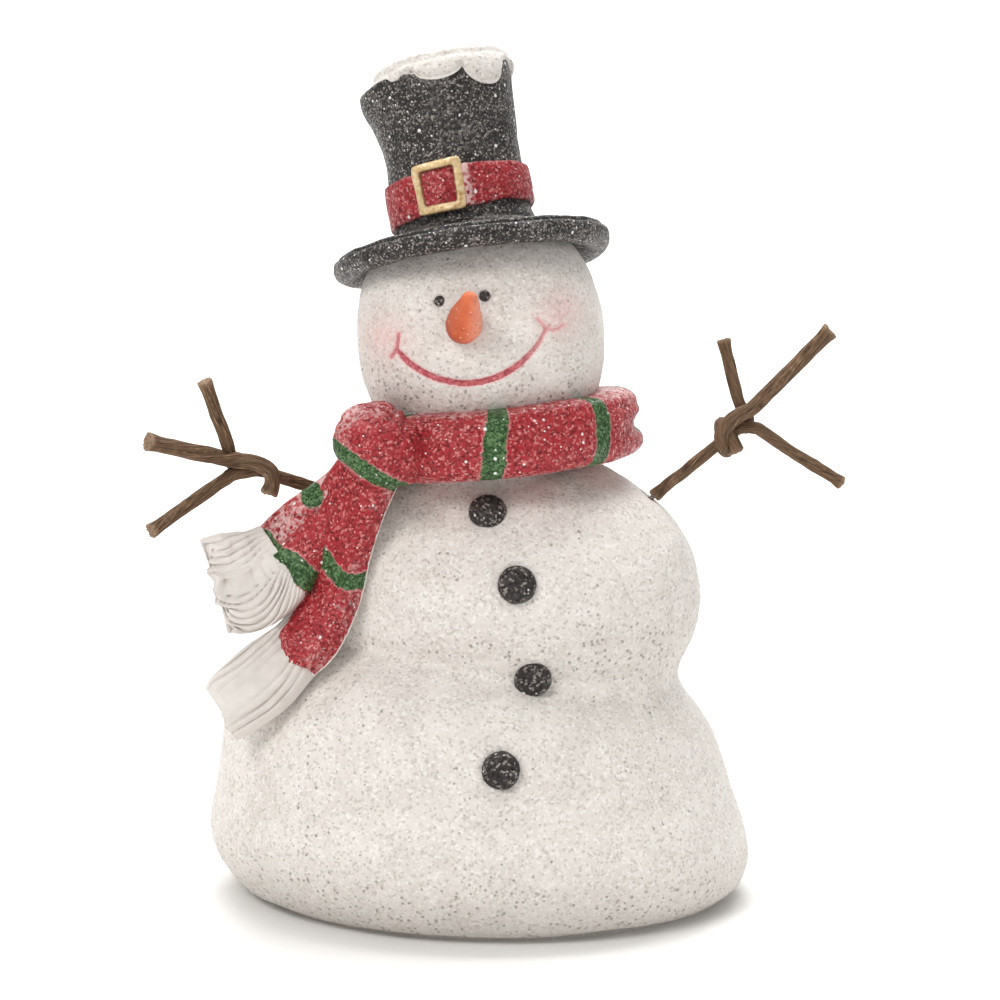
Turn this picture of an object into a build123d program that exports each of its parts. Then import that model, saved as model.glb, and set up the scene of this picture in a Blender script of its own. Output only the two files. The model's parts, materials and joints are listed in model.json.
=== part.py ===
"""A cast snowman figure with a top hat, a fringed scarf and two bendable twig arms.

Frame: +Z up, the figure faces -Y, the origin is the middle of the underside. Millimetres.
The body casting carries the head, the hat and the scarf. Each arm is a paper-wrapped wire that
bends where it leaves its socket, and its three finger twigs bend at the knot that ties them.
Left and right are the viewer's.
"""
from build123d import *
import math
import os

# ---------------------------------------------------------------- driving dimensions
# Lowest roll of the body
roll_w, roll_d, roll_h = 61.9, 52.5, 28.5    # half width, half depth, half height
roll_x = 0.4
roll_z = 12.5                # height of its widest line
roll_lift = 6.0              # degrees that its front is raised
roll_tilt = 2.0              # degrees that it leans to the right
roll_turn = -10.0            # degrees that its right side comes forward

# Belly
belly_w, belly_d, belly_h = 57.6, 47.5, 37.0
belly_x, belly_y, belly_z = -1.0, 0.0, 29.5
belly_tilt = 7.0             # degrees that it leans to the right

# Chest
chest_w, chest_d, chest_h = 41.0, 37.0, 32.5
chest_x, chest_y, chest_z = 10.0, 0.0, 68.0

# Left flank, behind the scarf's ends
flank_w, flank_d, flank_h = 32.0, 27.0, 33.0
flank_x, flank_y, flank_z = -8.0, -1.0, 69.0

# Hollow of the casting, its plug and the felt under it
hollow_w, hollow_d, hollow_h = 51.0, 42.0, 64.0
floor_t = 7.0
plug_r = 14.0
plug_flange_r = 18.0
plug_flange_t = 2.5
felt_t = 1.2
felt_inset = 4.0             # felt's edge inside the casting's contact edge
glue_gap = 0.05              # clearance all round a glued spigot, stud or plug

# Neck and head
neck_r = 17.5
neck_rise = 1.5              # the neck's seat above the top of the chest
head_w, head_d, head_h = 27.4, 26.0, 28.5
head_x, head_y = 1.1, -1.0
head_seat = 24.0             # head's centre above the neck's seat
head_roll, head_pitch, head_turn = -7.0, -10.0, -9.0
spigot_r = 9.0
spigot_len = 10.0

# Face: places are X and Z from the head's centre
eye_r = 1.25
eye_dome = 0.95
eye_depth = 1.6
eye_places = ((-9.0, 9.7), (1.0, 10.8))
nose_place = (-3.9, 3.6)
nose_way = (1.7, -12.0, 7.8)
nose_len = 15.2
nose_r = 3.9
nose_tip_r = 1.15
nose_peg_r = 1.6
nose_peg_len = 5.0

# Buttons: places are X and Z from the chest's centre
button_r = 4.1
button_dome = 2.5
button_depth = 1.2
button_places = ((-7.4, 22.6), (-1.1, 8.0), (2.4, -13.0), (-4.4, -29.8))

# Hat
hat_x, hat_y = -2.6, 2.2     # middle of the crown's foot from the head's centre
hat_seat = 5.0               # the crown's foot below the top of the head
hat_roll, hat_pitch, hat_turn = -8.0, -10.0, -11.0
crown_lean = 4.0             # degrees that the crown leans further than the brim
crown_x = -0.9              # middle of the crown from the middle of the brim
crown_r = 15.1
crown_top_r = 16.4
crown_h = 35.0
crown_slope = 3.0            # degrees that its top falls to the left
brim_r = 30.9
brim_drop = 5.6              # the rim's middle below the crown's foot
rim_r = 2.5
band_low, band_h = 1.6, 9.6
band_t = 1.1
buckle_w, buckle_h = 11.4, 11.6
buckle_bar = 1.9
buckle_t = 1.1
buckle_angle = -6.0          # degrees round from the hat's front
snow_h = 3.0
snow_lip = 1.5               # the snow's overhang past the crown
# Snow drips down the crown: angle from the front, drop, half width
snow_drips = ((-33.0, 1.6, 4.6), (3.0, 2.8, 5.4), (48.0, 5.0, 6.0), (96.0, 3.0, 6.0),
              (140.0, 5.5, 6.5), (-168.0, 3.0, 6.0), (-122.0, 4.5, 6.2), (-78.0, 2.0, 5.2))

# Scarf
scarf_x, scarf_y = 2.9, 0.0
scarf_lift = 2.3             # its middle above the neck's seat
scarf_r = 34.4
scarf_in = 18.0              # inside the neck and chin, which are cut away from it
scarf_h = 15.2
scarf_round = 5.0
scarf_roll, scarf_pitch = -5.0, -1.0
# The fold at the left and the scarf's ends are placed from the scarf's middle
fold_at = (-22.9, -26.5, 0.4)
fold_w, fold_d, fold_h = 11.0, 9.5, 8.6
fold_turn, fold_roll = -35.0, 28.0
tail_t = 6.5
fringe_t = 6.0
# Stations of each end: middle, angle of its face from the front, width
front_tail = (((-25.4, -26.5, -4.5), -38.0, 15.0), ((-29.7, -23.0, -12.5), -46.0, 17.5),
              ((-33.3, -21.5, -23.5), -48.0, 19.0), ((-35.6, -23.0, -34.5), -44.0, 17.0),
              ((-39.8, -25.5, -43.5), -40.0, 13.0))
front_fringe = (((-40.3, -25.5, -42.8), -36.0, 13.5), ((-48.4, -27.5, -50.0), -34.0, 16.0),
                ((-56.4, -29.0, -56.6), -32.0, 14.0))
back_tail = (((-31.9, -19.5, -12.5), -42.0, 12.0), ((-38.4, -18.5, -18.5), -38.0, 16.0),
             ((-45.2, -20.5, -25.9), -34.0, 19.0))
back_fringe = (((-45.5, -20.7, -26.1), -34.0, 18.6), ((-51.9, -22.5, -29.1), -28.0, 22.5),
               ((-60.5, -23.5, -30.5), -22.0, 20.5))

# Arms
wire_r = 0.55
peg_len = 7.0
socket_len = 7.5
bend_gap = 0.25              # half the bare gap where the wire bends
twig_gap = 0.35              # clearance between the roots of the twigs at a knot
finger_inset = 1.2           # a finger's wire starts this far past its root
stub_len = 6.0
stub_way = (0.0, -0.2, -1.0)
# Each arm: its twigs' radius, a point inside the body (from the chest's centre) on the arm's
# line and the line's way, the stem's length to the knot and past it, the bare wire at its
# socket, and its fingers' tips from the knot
arms = {
    "left": {
        "twig_r": 1.5, "inside": (-30.0, 0.0, chest_h - 14.5), "way": (-26.3, -15.0, 11.6),
        "stem": 17.4, "lead": 6.0, "bare": 2.4,
        "tips": {"upper": (-13.1, -8.5, 21.7), "middle": (-24.8, -16.5, 9.1),
                 "lower": (-24.6, -16.5, -10.7)},
    },
    "right": {
        "twig_r": 1.4, "inside": (22.6, -1.2, 16.3), "way": (18.0, -2.0, 15.1),
        "stem": 21.7, "lead": 3.7, "bare": 1.1,
        "tips": {"upper": (-1.4, 3.8, 21.5), "middle": (22.2, -2.2, 24.0),
                 "lower": (26.1, 2.8, -11.5)},
    },
}
far = 400.0                  # longer than anything here, for cutting tools

# ---------------------------------------------------------------- places that follow
chest_c = Vector(chest_x, chest_y, chest_z)
neck_z = chest_z + chest_h + neck_rise
head_c = Vector(head_x, head_y, neck_z + head_seat)
hat_c = head_c + Vector(hat_x, hat_y, head_h - hat_seat)
scarf_c = Vector(scarf_x, scarf_y, neck_z + scarf_lift)


# ---------------------------------------------------------------- small helpers
def placed(centre, roll, pitch, turn):
    """A place tilted by roll about Y, then pitch about X, then turn about Z."""
    return Pos(*centre) * Rot(0, 0, turn) * Rot(pitch, 0, 0) * Rot(0, roll, 0)


def ellipsoid(width, depth, height):
    """An ellipsoid from its half sizes, with its seam at the back."""
    return scale(Rot(0, 0, 90) * Sphere(1), by=(width, depth, height))


def rod(start, way, length, radius):
    """A round rod from start along way."""
    plane = Plane(origin=Vector(*start), z_dir=Vector(*way))
    return extrude(plane * Circle(radius), length)


def half_space_below(z):
    return Pos(0, 0, z - far / 2) * Box(far, far, far)


def front_of(solid, x, z):
    """The frontmost point of a solid on the line at x and z, and its outward normal."""
    hits = solid.find_intersection_points(Axis((x, -far, z), (0, 1, 0)))
    return min(hits, key=lambda hit: hit[0].Y)


def largest(shape):
    """The largest solid of a cut."""
    return max(shape.solids(), key=lambda solid: solid.volume)


# ---------------------------------------------------------------- body
def roll_place():
    return placed((roll_x, 0, roll_z), roll_tilt, -roll_lift, roll_turn)


def body_form():
    """The outside of the body casting, cut flat underneath and at the neck's seat."""
    mass = roll_place() * ellipsoid(roll_w, roll_d, roll_h)
    mass += placed((belly_x, belly_y, belly_z), belly_tilt, 0, 0) * ellipsoid(
        belly_w, belly_d, belly_h)
    mass += Pos(*chest_c) * ellipsoid(chest_w, chest_d, chest_h)
    mass += Pos(flank_x, flank_y, flank_z) * ellipsoid(flank_w, flank_d, flank_h)
    mass += Pos(head_x, head_y, chest_z) * extrude(Circle(neck_r), neck_z - chest_z)
    return (mass & half_space_below(neck_z)) - half_space_below(felt_t)


def hollow_form():
    dome = Pos(0, 0, felt_t) * ellipsoid(hollow_w, hollow_d, hollow_h)
    return dome - half_space_below(felt_t + floor_t)


def plug_form(gap):
    """The plug in the pour hole, grown by gap for its seat."""
    stem = extrude(Circle(plug_r + gap), floor_t)
    flange = extrude(Circle(plug_flange_r + gap), plug_flange_t + gap)
    return Pos(0, 0, felt_t) * (stem + flange)


def felt_form():
    """A pad inside the casting's contact edge."""
    inner = roll_place() * ellipsoid(roll_w - felt_inset, roll_d - felt_inset, roll_h)
    contact = (inner - half_space_below(felt_t)).faces().sort_by(Axis.Z)[0]
    return extrude(contact, felt_t, dir=(0, 0, -1))


# ---------------------------------------------------------------- head and face
def head_outer():
    return placed(head_c, head_roll, head_pitch, head_turn) * ellipsoid(
        head_w, head_d, head_h)


def spigot_form(gap):
    start = (head_x, head_y, neck_z + 2)
    return rod(start, (0, 0, -1), spigot_len + 2 + gap, spigot_r + gap)


def on_face(shell, place):
    return front_of(shell, head_c.X + place[0], head_c.Z + place[1])


def stud(hit, radius, dome, depth, gap=0.0):
    """A round domed stud sunk into a surface at a point with its outward normal.

    With a gap it is the stud's seat, which is open at the surface."""
    point, normal = hit
    seat = Plane(origin=point - normal * (depth + gap), z_dir=normal)
    if gap:
        return extrude(seat * Circle(radius + gap), depth + gap + dome)
    ball_r = (radius**2 + dome**2) / (2 * dome)
    shank = extrude(seat * Circle(radius), depth)
    top = Plane(origin=point, z_dir=normal)
    ball = Pos(*(point + normal * (dome - ball_r))) * Sphere(ball_r)
    return shank + (ball & extrude(top * Circle(radius), dome + 1))


def nose_form():
    """A short carrot, rounded at its thick end, along +Z from its root."""
    with BuildPart() as form:
        with BuildSketch(Plane.XZ):
            with BuildLine():
                back = Line((0, -nose_r), (0, nose_len))
                Spline(back @ 1, (nose_tip_r, nose_len - nose_tip_r),
                       (nose_r, nose_r * 0.35), back @ 0, tangents=[(1, 0), (-1, 0)])
            make_face()
        revolve(axis=Axis.Z)
    return form.part


def nose_plane(shell):
    return Plane(origin=on_face(shell, nose_place)[0], z_dir=Vector(*nose_way))


def nose_peg(shell, gap):
    plane = nose_plane(shell)
    start = plane.origin + plane.z_dir * nose_r
    return rod(start, -plane.z_dir, nose_peg_len + nose_r + gap, nose_peg_r + gap)


# ---------------------------------------------------------------- hat
def crown_top():
    """Where the crown's sloping top lies, in the crown's own frame."""
    return Pos(0, 0, crown_h) * Rot(0, -crown_slope, 0)


def crown_form():
    """The crown in its own frame, its foot reaching down into the brim."""
    with BuildPart() as form:
        with BuildSketch(Plane.XZ):
            with BuildLine():
                tall = crown_h + crown_top_r * math.tan(math.radians(crown_slope)) + 1
                axis = Line((0, -brim_drop), (0, tall))
                top = Line(axis @ 1, (crown_top_r, tall))
                side = Line(top @ 1, (crown_top_r, crown_h - 3))
                taper = Spline(side @ 1, (crown_r, band_low + band_h),
                               tangents=[(0, -1), (0, -1)])
                foot = Line(taper @ 1, (crown_r, -brim_drop))
                Line(foot @ 1, axis @ 0)
            make_face()
        revolve(axis=Axis.Z)
    above = crown_top() * Pos(0, 0, far / 2) * Box(far, far, far)
    return form.part - above


def brim_form():
    """The brim, which falls outwards to a round rim, in its own frame."""
    with BuildPart() as form:
        with BuildSketch(Plane.XZ):
            with BuildLine():
                axis = Line((0, -brim_drop - rim_r), (0, 0))
                foot = Line(axis @ 1, (crown_r - 2, 0))
                shelf = Spline(foot @ 1, (brim_r - rim_r, rim_r - brim_drop),
                               tangents=[(1, -0.1), (1, -0.25)])
                rim = ThreePointArc(shelf @ 1, (brim_r, -brim_drop),
                                    (brim_r - rim_r, -brim_drop - rim_r))
                Line(rim @ 1, axis @ 0)
            make_face()
        revolve(axis=Axis.Z)
    return form.part


def band_form():
    ring = Circle(crown_r + band_t) - Circle(crown_r)
    return Pos(0, 0, band_low) * extrude(ring, band_h)


def buckle_form():
    """A square frame that follows the band's curve."""
    band_r = crown_r + band_t
    shell = Pos(0, 0, -1) * extrude(Circle(band_r + buckle_t) - Circle(band_r), crown_h)
    frame = Rectangle(buckle_w, buckle_h) - Rectangle(
        buckle_w - 2 * buckle_bar, buckle_h - 2 * buckle_bar)
    front = Plane(origin=(0, 0, band_low + band_h / 2), x_dir=(1, 0, 0), z_dir=(0, -1, 0))
    return Rot(0, 0, buckle_angle) * (shell & extrude(front * frame, band_r * 2))


def snow_form():
    """A cap of snow that lies on the crown's top and hangs down its sides in drips."""
    reach = crown_top_r + snow_lip / 2
    cap = crown_top() * ellipsoid(reach, reach, snow_h)
    for angle, drop, half_width in snow_drips:
        hang = Pos(0, 1 - crown_top_r, 1 - drop / 2) * ellipsoid(
            half_width, snow_lip + 1, drop / 2 + 2.2)
        cap += crown_top() * Rot(0, 0, angle) * hang
    return cap


# ---------------------------------------------------------------- scarf
def scarf_ring(gap=0.0):
    """The round of the scarf, its inner side still inside the neck and chin.

    The gap grows it, and each piece below, for cutting what lies against it."""
    with BuildPart() as form:
        with BuildSketch(Plane.XZ):
            wide = scarf_r - scarf_in + gap
            with Locations((scarf_in + wide / 2, 0)):
                RectangleRounded(wide, scarf_h + 2 * gap, scarf_round + gap)
        revolve(axis=Axis.Z)
    return placed(scarf_c, scarf_roll, scarf_pitch, 0) * form.part


def fold_form(gap=0.0):
    return placed(scarf_c + Vector(*fold_at), fold_roll, 0, fold_turn) * ellipsoid(
        fold_w + gap, fold_d + gap, fold_h + gap)


def ribbon(stations, thickness, gap=0.0):
    """A rounded strip through stations of middle, angle of its face from the front, width."""
    points = [scarf_c + Vector(*middle) for middle, _, _ in stations]
    sections = []
    for i, (_, angle, width) in enumerate(stations):
        before, after = points[max(i - 1, 0)], points[min(i + 1, len(points) - 1)]
        way = (after - before).normalized()
        out = Vector(math.sin(math.radians(angle)), -math.cos(math.radians(angle)), 0)
        plane = Plane(origin=points[i], x_dir=way.cross(out), z_dir=way)
        outline = RectangleRounded(width + 2 * gap, thickness + 2 * gap, thickness * 0.45)
        sections.append(plane * outline)
    return loft(sections)


# ---------------------------------------------------------------- arms
def arm_frame(arm, body):
    """An arm's shoulder point, stem direction, knot, and the up and front of its hand."""
    along = Vector(*arm["way"]).normalized()
    inside = chest_c + Vector(*arm["inside"])
    hits = body.find_intersection_points(Axis(inside, along))
    shoulder = max((point for point, _ in hits), key=lambda point: (point - inside).dot(along))
    knot = shoulder + along * arm["stem"]
    level = Vector(0, -1, 0)
    front = (level - along * along.dot(level)).normalized()
    up = front.cross(along)
    return shoulder, along, knot, up if up.Z > 0 else -up, front


def knot_form(arm, frame):
    """One turn of twig round the stem, with its cut end hanging down."""
    _, along, knot, _, front = frame
    turn_r = 2 * arm["twig_r"] + glue_gap
    turn = Plane(origin=knot, z_dir=along) * Torus(turn_r, arm["twig_r"])
    return turn + rod(knot + front * turn_r, stub_way, stub_len, arm["twig_r"])


def finger_root(arm, frame, finger):
    """Where a finger's rounded root lies, clear of the knot and of the other roots."""
    _, along, knot, up, _ = frame
    rise = {"upper": 1, "middle": 0, "lower": -1}[finger]
    past = arm["lead"] + arm["twig_r"] + 2 * twig_gap
    return knot + along * past + up * (rise * (2 * arm["twig_r"] + twig_gap))


def arm_nodes(side, frame):
    """The pieces of one arm, by node name."""
    arm = arms[side]
    twig_r = arm["twig_r"]
    shoulder, along, knot, _, _ = frame
    wire_start = shoulder + along * bend_gap
    wire_len = arm["stem"] - bend_gap + arm["lead"]
    stem = rod(shoulder + along * arm["bare"], along,
               arm["stem"] - arm["bare"] + arm["lead"], twig_r)
    nodes = {
        f"{side}_arm_peg": rod(shoulder - along * bend_gap, -along, peg_len - bend_gap, wire_r),
        f"{side}_stem_wire": rod(wire_start, along, wire_len, wire_r),
        f"{side}_stem_twig": stem - rod(wire_start, along, wire_len + 1, wire_r),
        f"{side}_knot": knot_form(arm, frame),
    }
    for finger, tip in arm["tips"].items():
        root = finger_root(arm, frame, finger)
        way = knot + Vector(*tip) - root
        length = way.length
        way = way.normalized()
        start = root + way * finger_inset
        twig = rod(root, way, length, twig_r) + Pos(*root) * Sphere(twig_r)
        nodes[f"{side}_{finger}_twig"] = twig - rod(start, way, length, wire_r)
        nodes[f"{side}_{finger}_wire"] = rod(start, way, length - finger_inset, wire_r)
    return nodes


def arm_socket(frame):
    shoulder, along, _, _, _ = frame
    return rod(shoulder + along * 3, -along, socket_len + 3, wire_r + glue_gap)


# ---------------------------------------------------------------- assembly
def body_nodes(outer, frames):
    hits = [front_of(outer, chest_x + x, chest_z + z) for x, z in button_places]
    body = outer - hollow_form() - plug_form(glue_gap) - spigot_form(glue_gap)
    nodes = {}
    for number, hit in enumerate(hits, 1):
        nodes[f"button_{number}"] = stud(hit, button_r, button_dome, button_depth)
        body -= stud(hit, button_r, button_dome, button_depth, glue_gap)
    for frame in frames.values():
        body -= arm_socket(frame)
    nodes["body_casting"] = body
    nodes["base_plug"] = plug_form(0)
    nodes["base_felt"] = felt_form()
    return nodes


def head_nodes(shell, head):
    nodes = {}
    for name, place in zip(("left_eye", "right_eye"), eye_places):
        hit = on_face(shell, place)
        nodes[name] = stud(hit, eye_r, eye_dome, eye_depth)
        head -= stud(hit, eye_r, eye_dome, eye_depth, glue_gap)
    nose = nose_plane(shell).location * nose_form() - shell
    nodes["nose"] = nose + nose_peg(shell, 0)
    nodes["head_casting"] = (head - nose_peg(shell, glue_gap)) + spigot_form(0)
    return nodes


def hat_nodes(head):
    lie = placed(hat_c, hat_roll, hat_pitch, hat_turn)
    stand = lie * Pos(crown_x, 0, 0) * Rot(0, -crown_lean, 0)
    brim, crown = lie * brim_form(), stand * crown_form()
    return {
        "hat": brim + crown - head,
        "hat_band": stand * band_form() - brim,
        "hat_buckle": stand * buckle_form() - brim,
        "hat_snow": stand * (snow_form() - crown_form()),
    }


def scarf_nodes(core):
    """The scarf's pieces, each cut where it meets the body, the head and those before it."""
    before = [fold_form(glue_gap), scarf_ring(glue_gap)]
    nodes = {
        "scarf_fold": largest(fold_form() - core),
        "scarf_wrap": largest(scarf_ring() - core - before[0]),
    }
    strips = {"scarf_front_tail": (front_tail, tail_t), "scarf_back_tail": (back_tail, tail_t),
              "front_fringe": (front_fringe, fringe_t), "back_fringe": (back_fringe, fringe_t)}
    for name, (stations, thickness) in strips.items():
        strip = ribbon(stations, thickness) - core
        for piece in before:
            strip = strip - piece
        nodes[name] = largest(strip)
        before.append(ribbon(stations, thickness, glue_gap))
    return nodes


def build():
    outer = body_form()
    shell = head_outer()
    head = shell - half_space_below(neck_z + glue_gap)
    frames = {side: arm_frame(arm, outer) for side, arm in arms.items()}
    nodes = body_nodes(outer, frames)
    nodes.update(head_nodes(shell, head))
    nodes.update(hat_nodes(head))
    nodes.update(scarf_nodes(outer + head))
    for side, frame in frames.items():
        nodes.update(arm_nodes(side, frame))
    return nodes


os.makedirs("parts", exist_ok=True)
for name, shape in build().items():
    export_step(shape, f"parts/{name}.step")
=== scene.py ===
import json
import math

import bpy
import numpy as np
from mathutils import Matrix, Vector


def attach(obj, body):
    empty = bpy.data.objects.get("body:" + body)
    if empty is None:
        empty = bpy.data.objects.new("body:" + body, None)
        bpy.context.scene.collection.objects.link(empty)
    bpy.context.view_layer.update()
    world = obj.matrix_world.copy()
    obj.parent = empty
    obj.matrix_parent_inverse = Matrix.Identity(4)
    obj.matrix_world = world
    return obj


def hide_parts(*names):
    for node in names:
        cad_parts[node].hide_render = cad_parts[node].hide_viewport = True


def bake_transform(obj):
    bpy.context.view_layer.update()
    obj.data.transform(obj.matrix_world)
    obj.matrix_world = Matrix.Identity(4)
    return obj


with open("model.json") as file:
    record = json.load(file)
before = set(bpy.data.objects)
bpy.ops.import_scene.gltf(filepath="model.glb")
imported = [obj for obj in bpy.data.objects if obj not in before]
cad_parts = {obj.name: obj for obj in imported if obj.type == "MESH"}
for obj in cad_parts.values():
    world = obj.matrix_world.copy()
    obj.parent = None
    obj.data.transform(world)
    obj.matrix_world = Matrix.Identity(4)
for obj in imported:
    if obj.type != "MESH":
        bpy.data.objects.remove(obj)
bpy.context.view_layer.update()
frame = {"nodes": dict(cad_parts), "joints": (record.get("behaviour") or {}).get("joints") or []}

MM = 0.001


# ---------------------------------------------------------------- numbers and noise
def turn_x(a):
    c, s = math.cos(math.radians(a)), math.sin(math.radians(a))
    return np.array([[1, 0, 0], [0, c, -s], [0, s, c]])


def turn_y(a):
    c, s = math.cos(math.radians(a)), math.sin(math.radians(a))
    return np.array([[c, 0, s], [0, 1, 0], [-s, 0, c]])


def turn_z(a):
    c, s = math.cos(math.radians(a)), math.sin(math.radians(a))
    return np.array([[c, -s, 0], [s, c, 0], [0, 0, 1]])


def tilted(roll, pitch, turn):
    return turn_z(turn) @ turn_x(pitch) @ turn_y(roll)


def ease(low, high, value):
    t = np.clip((value - low) / (high - low), 0, 1)
    return t * t * (3 - 2 * t)


def power(value, exponent):
    """A signed power, which squares off the sine and cosine of a section."""
    return np.sign(value) * np.abs(value) ** exponent


def noise(points, size, seed=0):
    """Smooth value noise from -1 to 1 with lumps of that size in mm."""
    q = np.asarray(points, float) / size + 61.7
    base = np.floor(q).astype(np.int64)
    f = q - base
    f = f * f * (3 - 2 * f)
    total = 0
    for corner in range(8):
        step = np.array([corner & 1, (corner >> 1) & 1, (corner >> 2) & 1])
        cell = base + step
        h = (cell[..., 0] * 73856093) ^ (cell[..., 1] * 19349663) ^ (cell[..., 2] * 83492791)
        h = (h ^ (seed * 2654435)) & 0x7FFFFFFF
        h = ((h ^ (h >> 13)) * 1274126177) & 0x7FFFFFFF
        h = ((h ^ (h >> 15)) * 668265263) & 0x7FFFFFFF
        weight = np.prod(np.where(step, f, 1 - f), axis=-1)
        total = total + weight * ((h & 0xFFFF) / 32767.5 - 1)
    return total


def lumps(points, size, seed=0, octaves=3):
    total, share = 0, 1.0
    for i in range(octaves):
        total = total + share * noise(points, size / 2**i, seed + i)
        share *= 0.5
    return total


def curve(points, count):
    """A smooth line through a few points, evenly spaced."""
    p = np.array(points, float)
    p = np.vstack([2 * p[0] - p[1], p, 2 * p[-1] - p[-2]])
    rows = []
    for i in range(1, len(p) - 2):
        t = np.linspace(0, 1, 40, endpoint=False)[:, None]
        a, b, c, d = p[i - 1], p[i], p[i + 1], p[i + 2]
        rows.append(0.5 * (2 * b + (c - a) * t + (2 * a - 5 * b + 4 * c - d) * t**2
                           + (3 * b - a - 3 * c + d) * t**3))
    rows = np.vstack(rows + [p[-2:-1]])
    run = np.concatenate([[0], np.cumsum(np.linalg.norm(np.diff(rows, axis=0), axis=1))])
    at = np.linspace(0, run[-1], count)
    return np.stack([np.interp(at, run, rows[:, k]) for k in range(rows.shape[1])], 1)


def off_line(x, z, line):
    """Distance in the X-Z plane from a drawn line, and how far along it the nearest point is."""
    best = np.full(np.shape(x), 1e9)
    along = np.zeros(np.shape(x))
    for i in range(len(line) - 1):
        ax, az = line[i]
        dx, dz = line[i + 1][0] - ax, line[i + 1][1] - az
        t = np.clip(((x - ax) * dx + (z - az) * dz) / (dx * dx + dz * dz), 0, 1)
        d = np.hypot(x - ax - t * dx, z - az - t * dz)
        nearer = d < best
        best = np.where(nearer, d, best)
        along = np.where(nearer, (i + t) / (len(line) - 1), along)
    return best, along


# ---------------------------------------------------------------- meshes
def grid(name, p, masks=None, ring=False):
    """A closed mesh from rows of points, each row a loop. The ends are closed with a middle
    point, or joined to each other when the rows themselves make a ring. Millimetres."""
    n, m, _ = p.shape
    verts = p.reshape(-1, 3)
    i = np.arange(n if ring else n - 1)[:, None]
    j = np.arange(m)[None, :]
    a, b = i * m + j, i * m + (j + 1) % m
    c, d = ((i + 1) % n) * m + (j + 1) % m, ((i + 1) % n) * m + j
    quads = np.stack([a, b, c, d], -1).reshape(-1, 4)
    tris = np.zeros((0, 3), int)
    if not ring:
        verts = np.vstack([verts, p[0].mean(0), p[-1].mean(0)])
        e = np.arange(m)
        tris = np.vstack([np.stack([(e + 1) % m, e, np.full(m, n * m)], 1),
                          np.stack([(n - 1) * m + e, (n - 1) * m + (e + 1) % m,
                                    np.full(m, n * m + 1)], 1)])
    va, vb, vc, vd = (verts[quads[:, k]] for k in range(4))
    volume = np.einsum("ij,ij->", va, np.cross(vb, vc)) + np.einsum("ij,ij->", va, np.cross(vc, vd))
    if volume < 0:
        quads, tris = quads[:, ::-1], tris[:, ::-1]
    mesh = bpy.data.meshes.new(name)
    mesh.vertices.add(len(verts))
    mesh.vertices.foreach_set("co", (verts * MM).astype(np.float32).ravel())
    loops = np.concatenate([quads.ravel(), tris.ravel()])
    mesh.loops.add(len(loops))
    mesh.loops.foreach_set("vertex_index", loops.astype(np.int32))
    sizes = np.concatenate([np.full(len(quads), 4), np.full(len(tris), 3)])
    starts = np.concatenate([[0], np.cumsum(sizes)[:-1]])
    mesh.polygons.add(len(sizes))
    mesh.polygons.foreach_set("loop_start", starts.astype(np.int32))
    mesh.update(calc_edges=True)
    mesh.validate()
    mesh.polygons.foreach_set("use_smooth", np.ones(len(mesh.polygons), bool))
    for key, values in (masks or {}).items():
        full = values.reshape(-1)
        if not ring:
            full = np.concatenate([full, [values[0].mean(), values[-1].mean()]])
        mesh.attributes.new(key, "FLOAT", "POINT").data.foreach_set(
            "value", full.astype(np.float32))
    mesh.update()
    made = bpy.data.objects.new(name, mesh)
    bpy.context.scene.collection.objects.link(made)
    return made


def finish_piece(piece, body, nodes, shader):
    """Gives a piece its finish and its body, and hides the CAD nodes that it replaces."""
    piece.data.materials.append(shader)
    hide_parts(*nodes)
    if body:
        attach(piece, body)
    return piece


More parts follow.
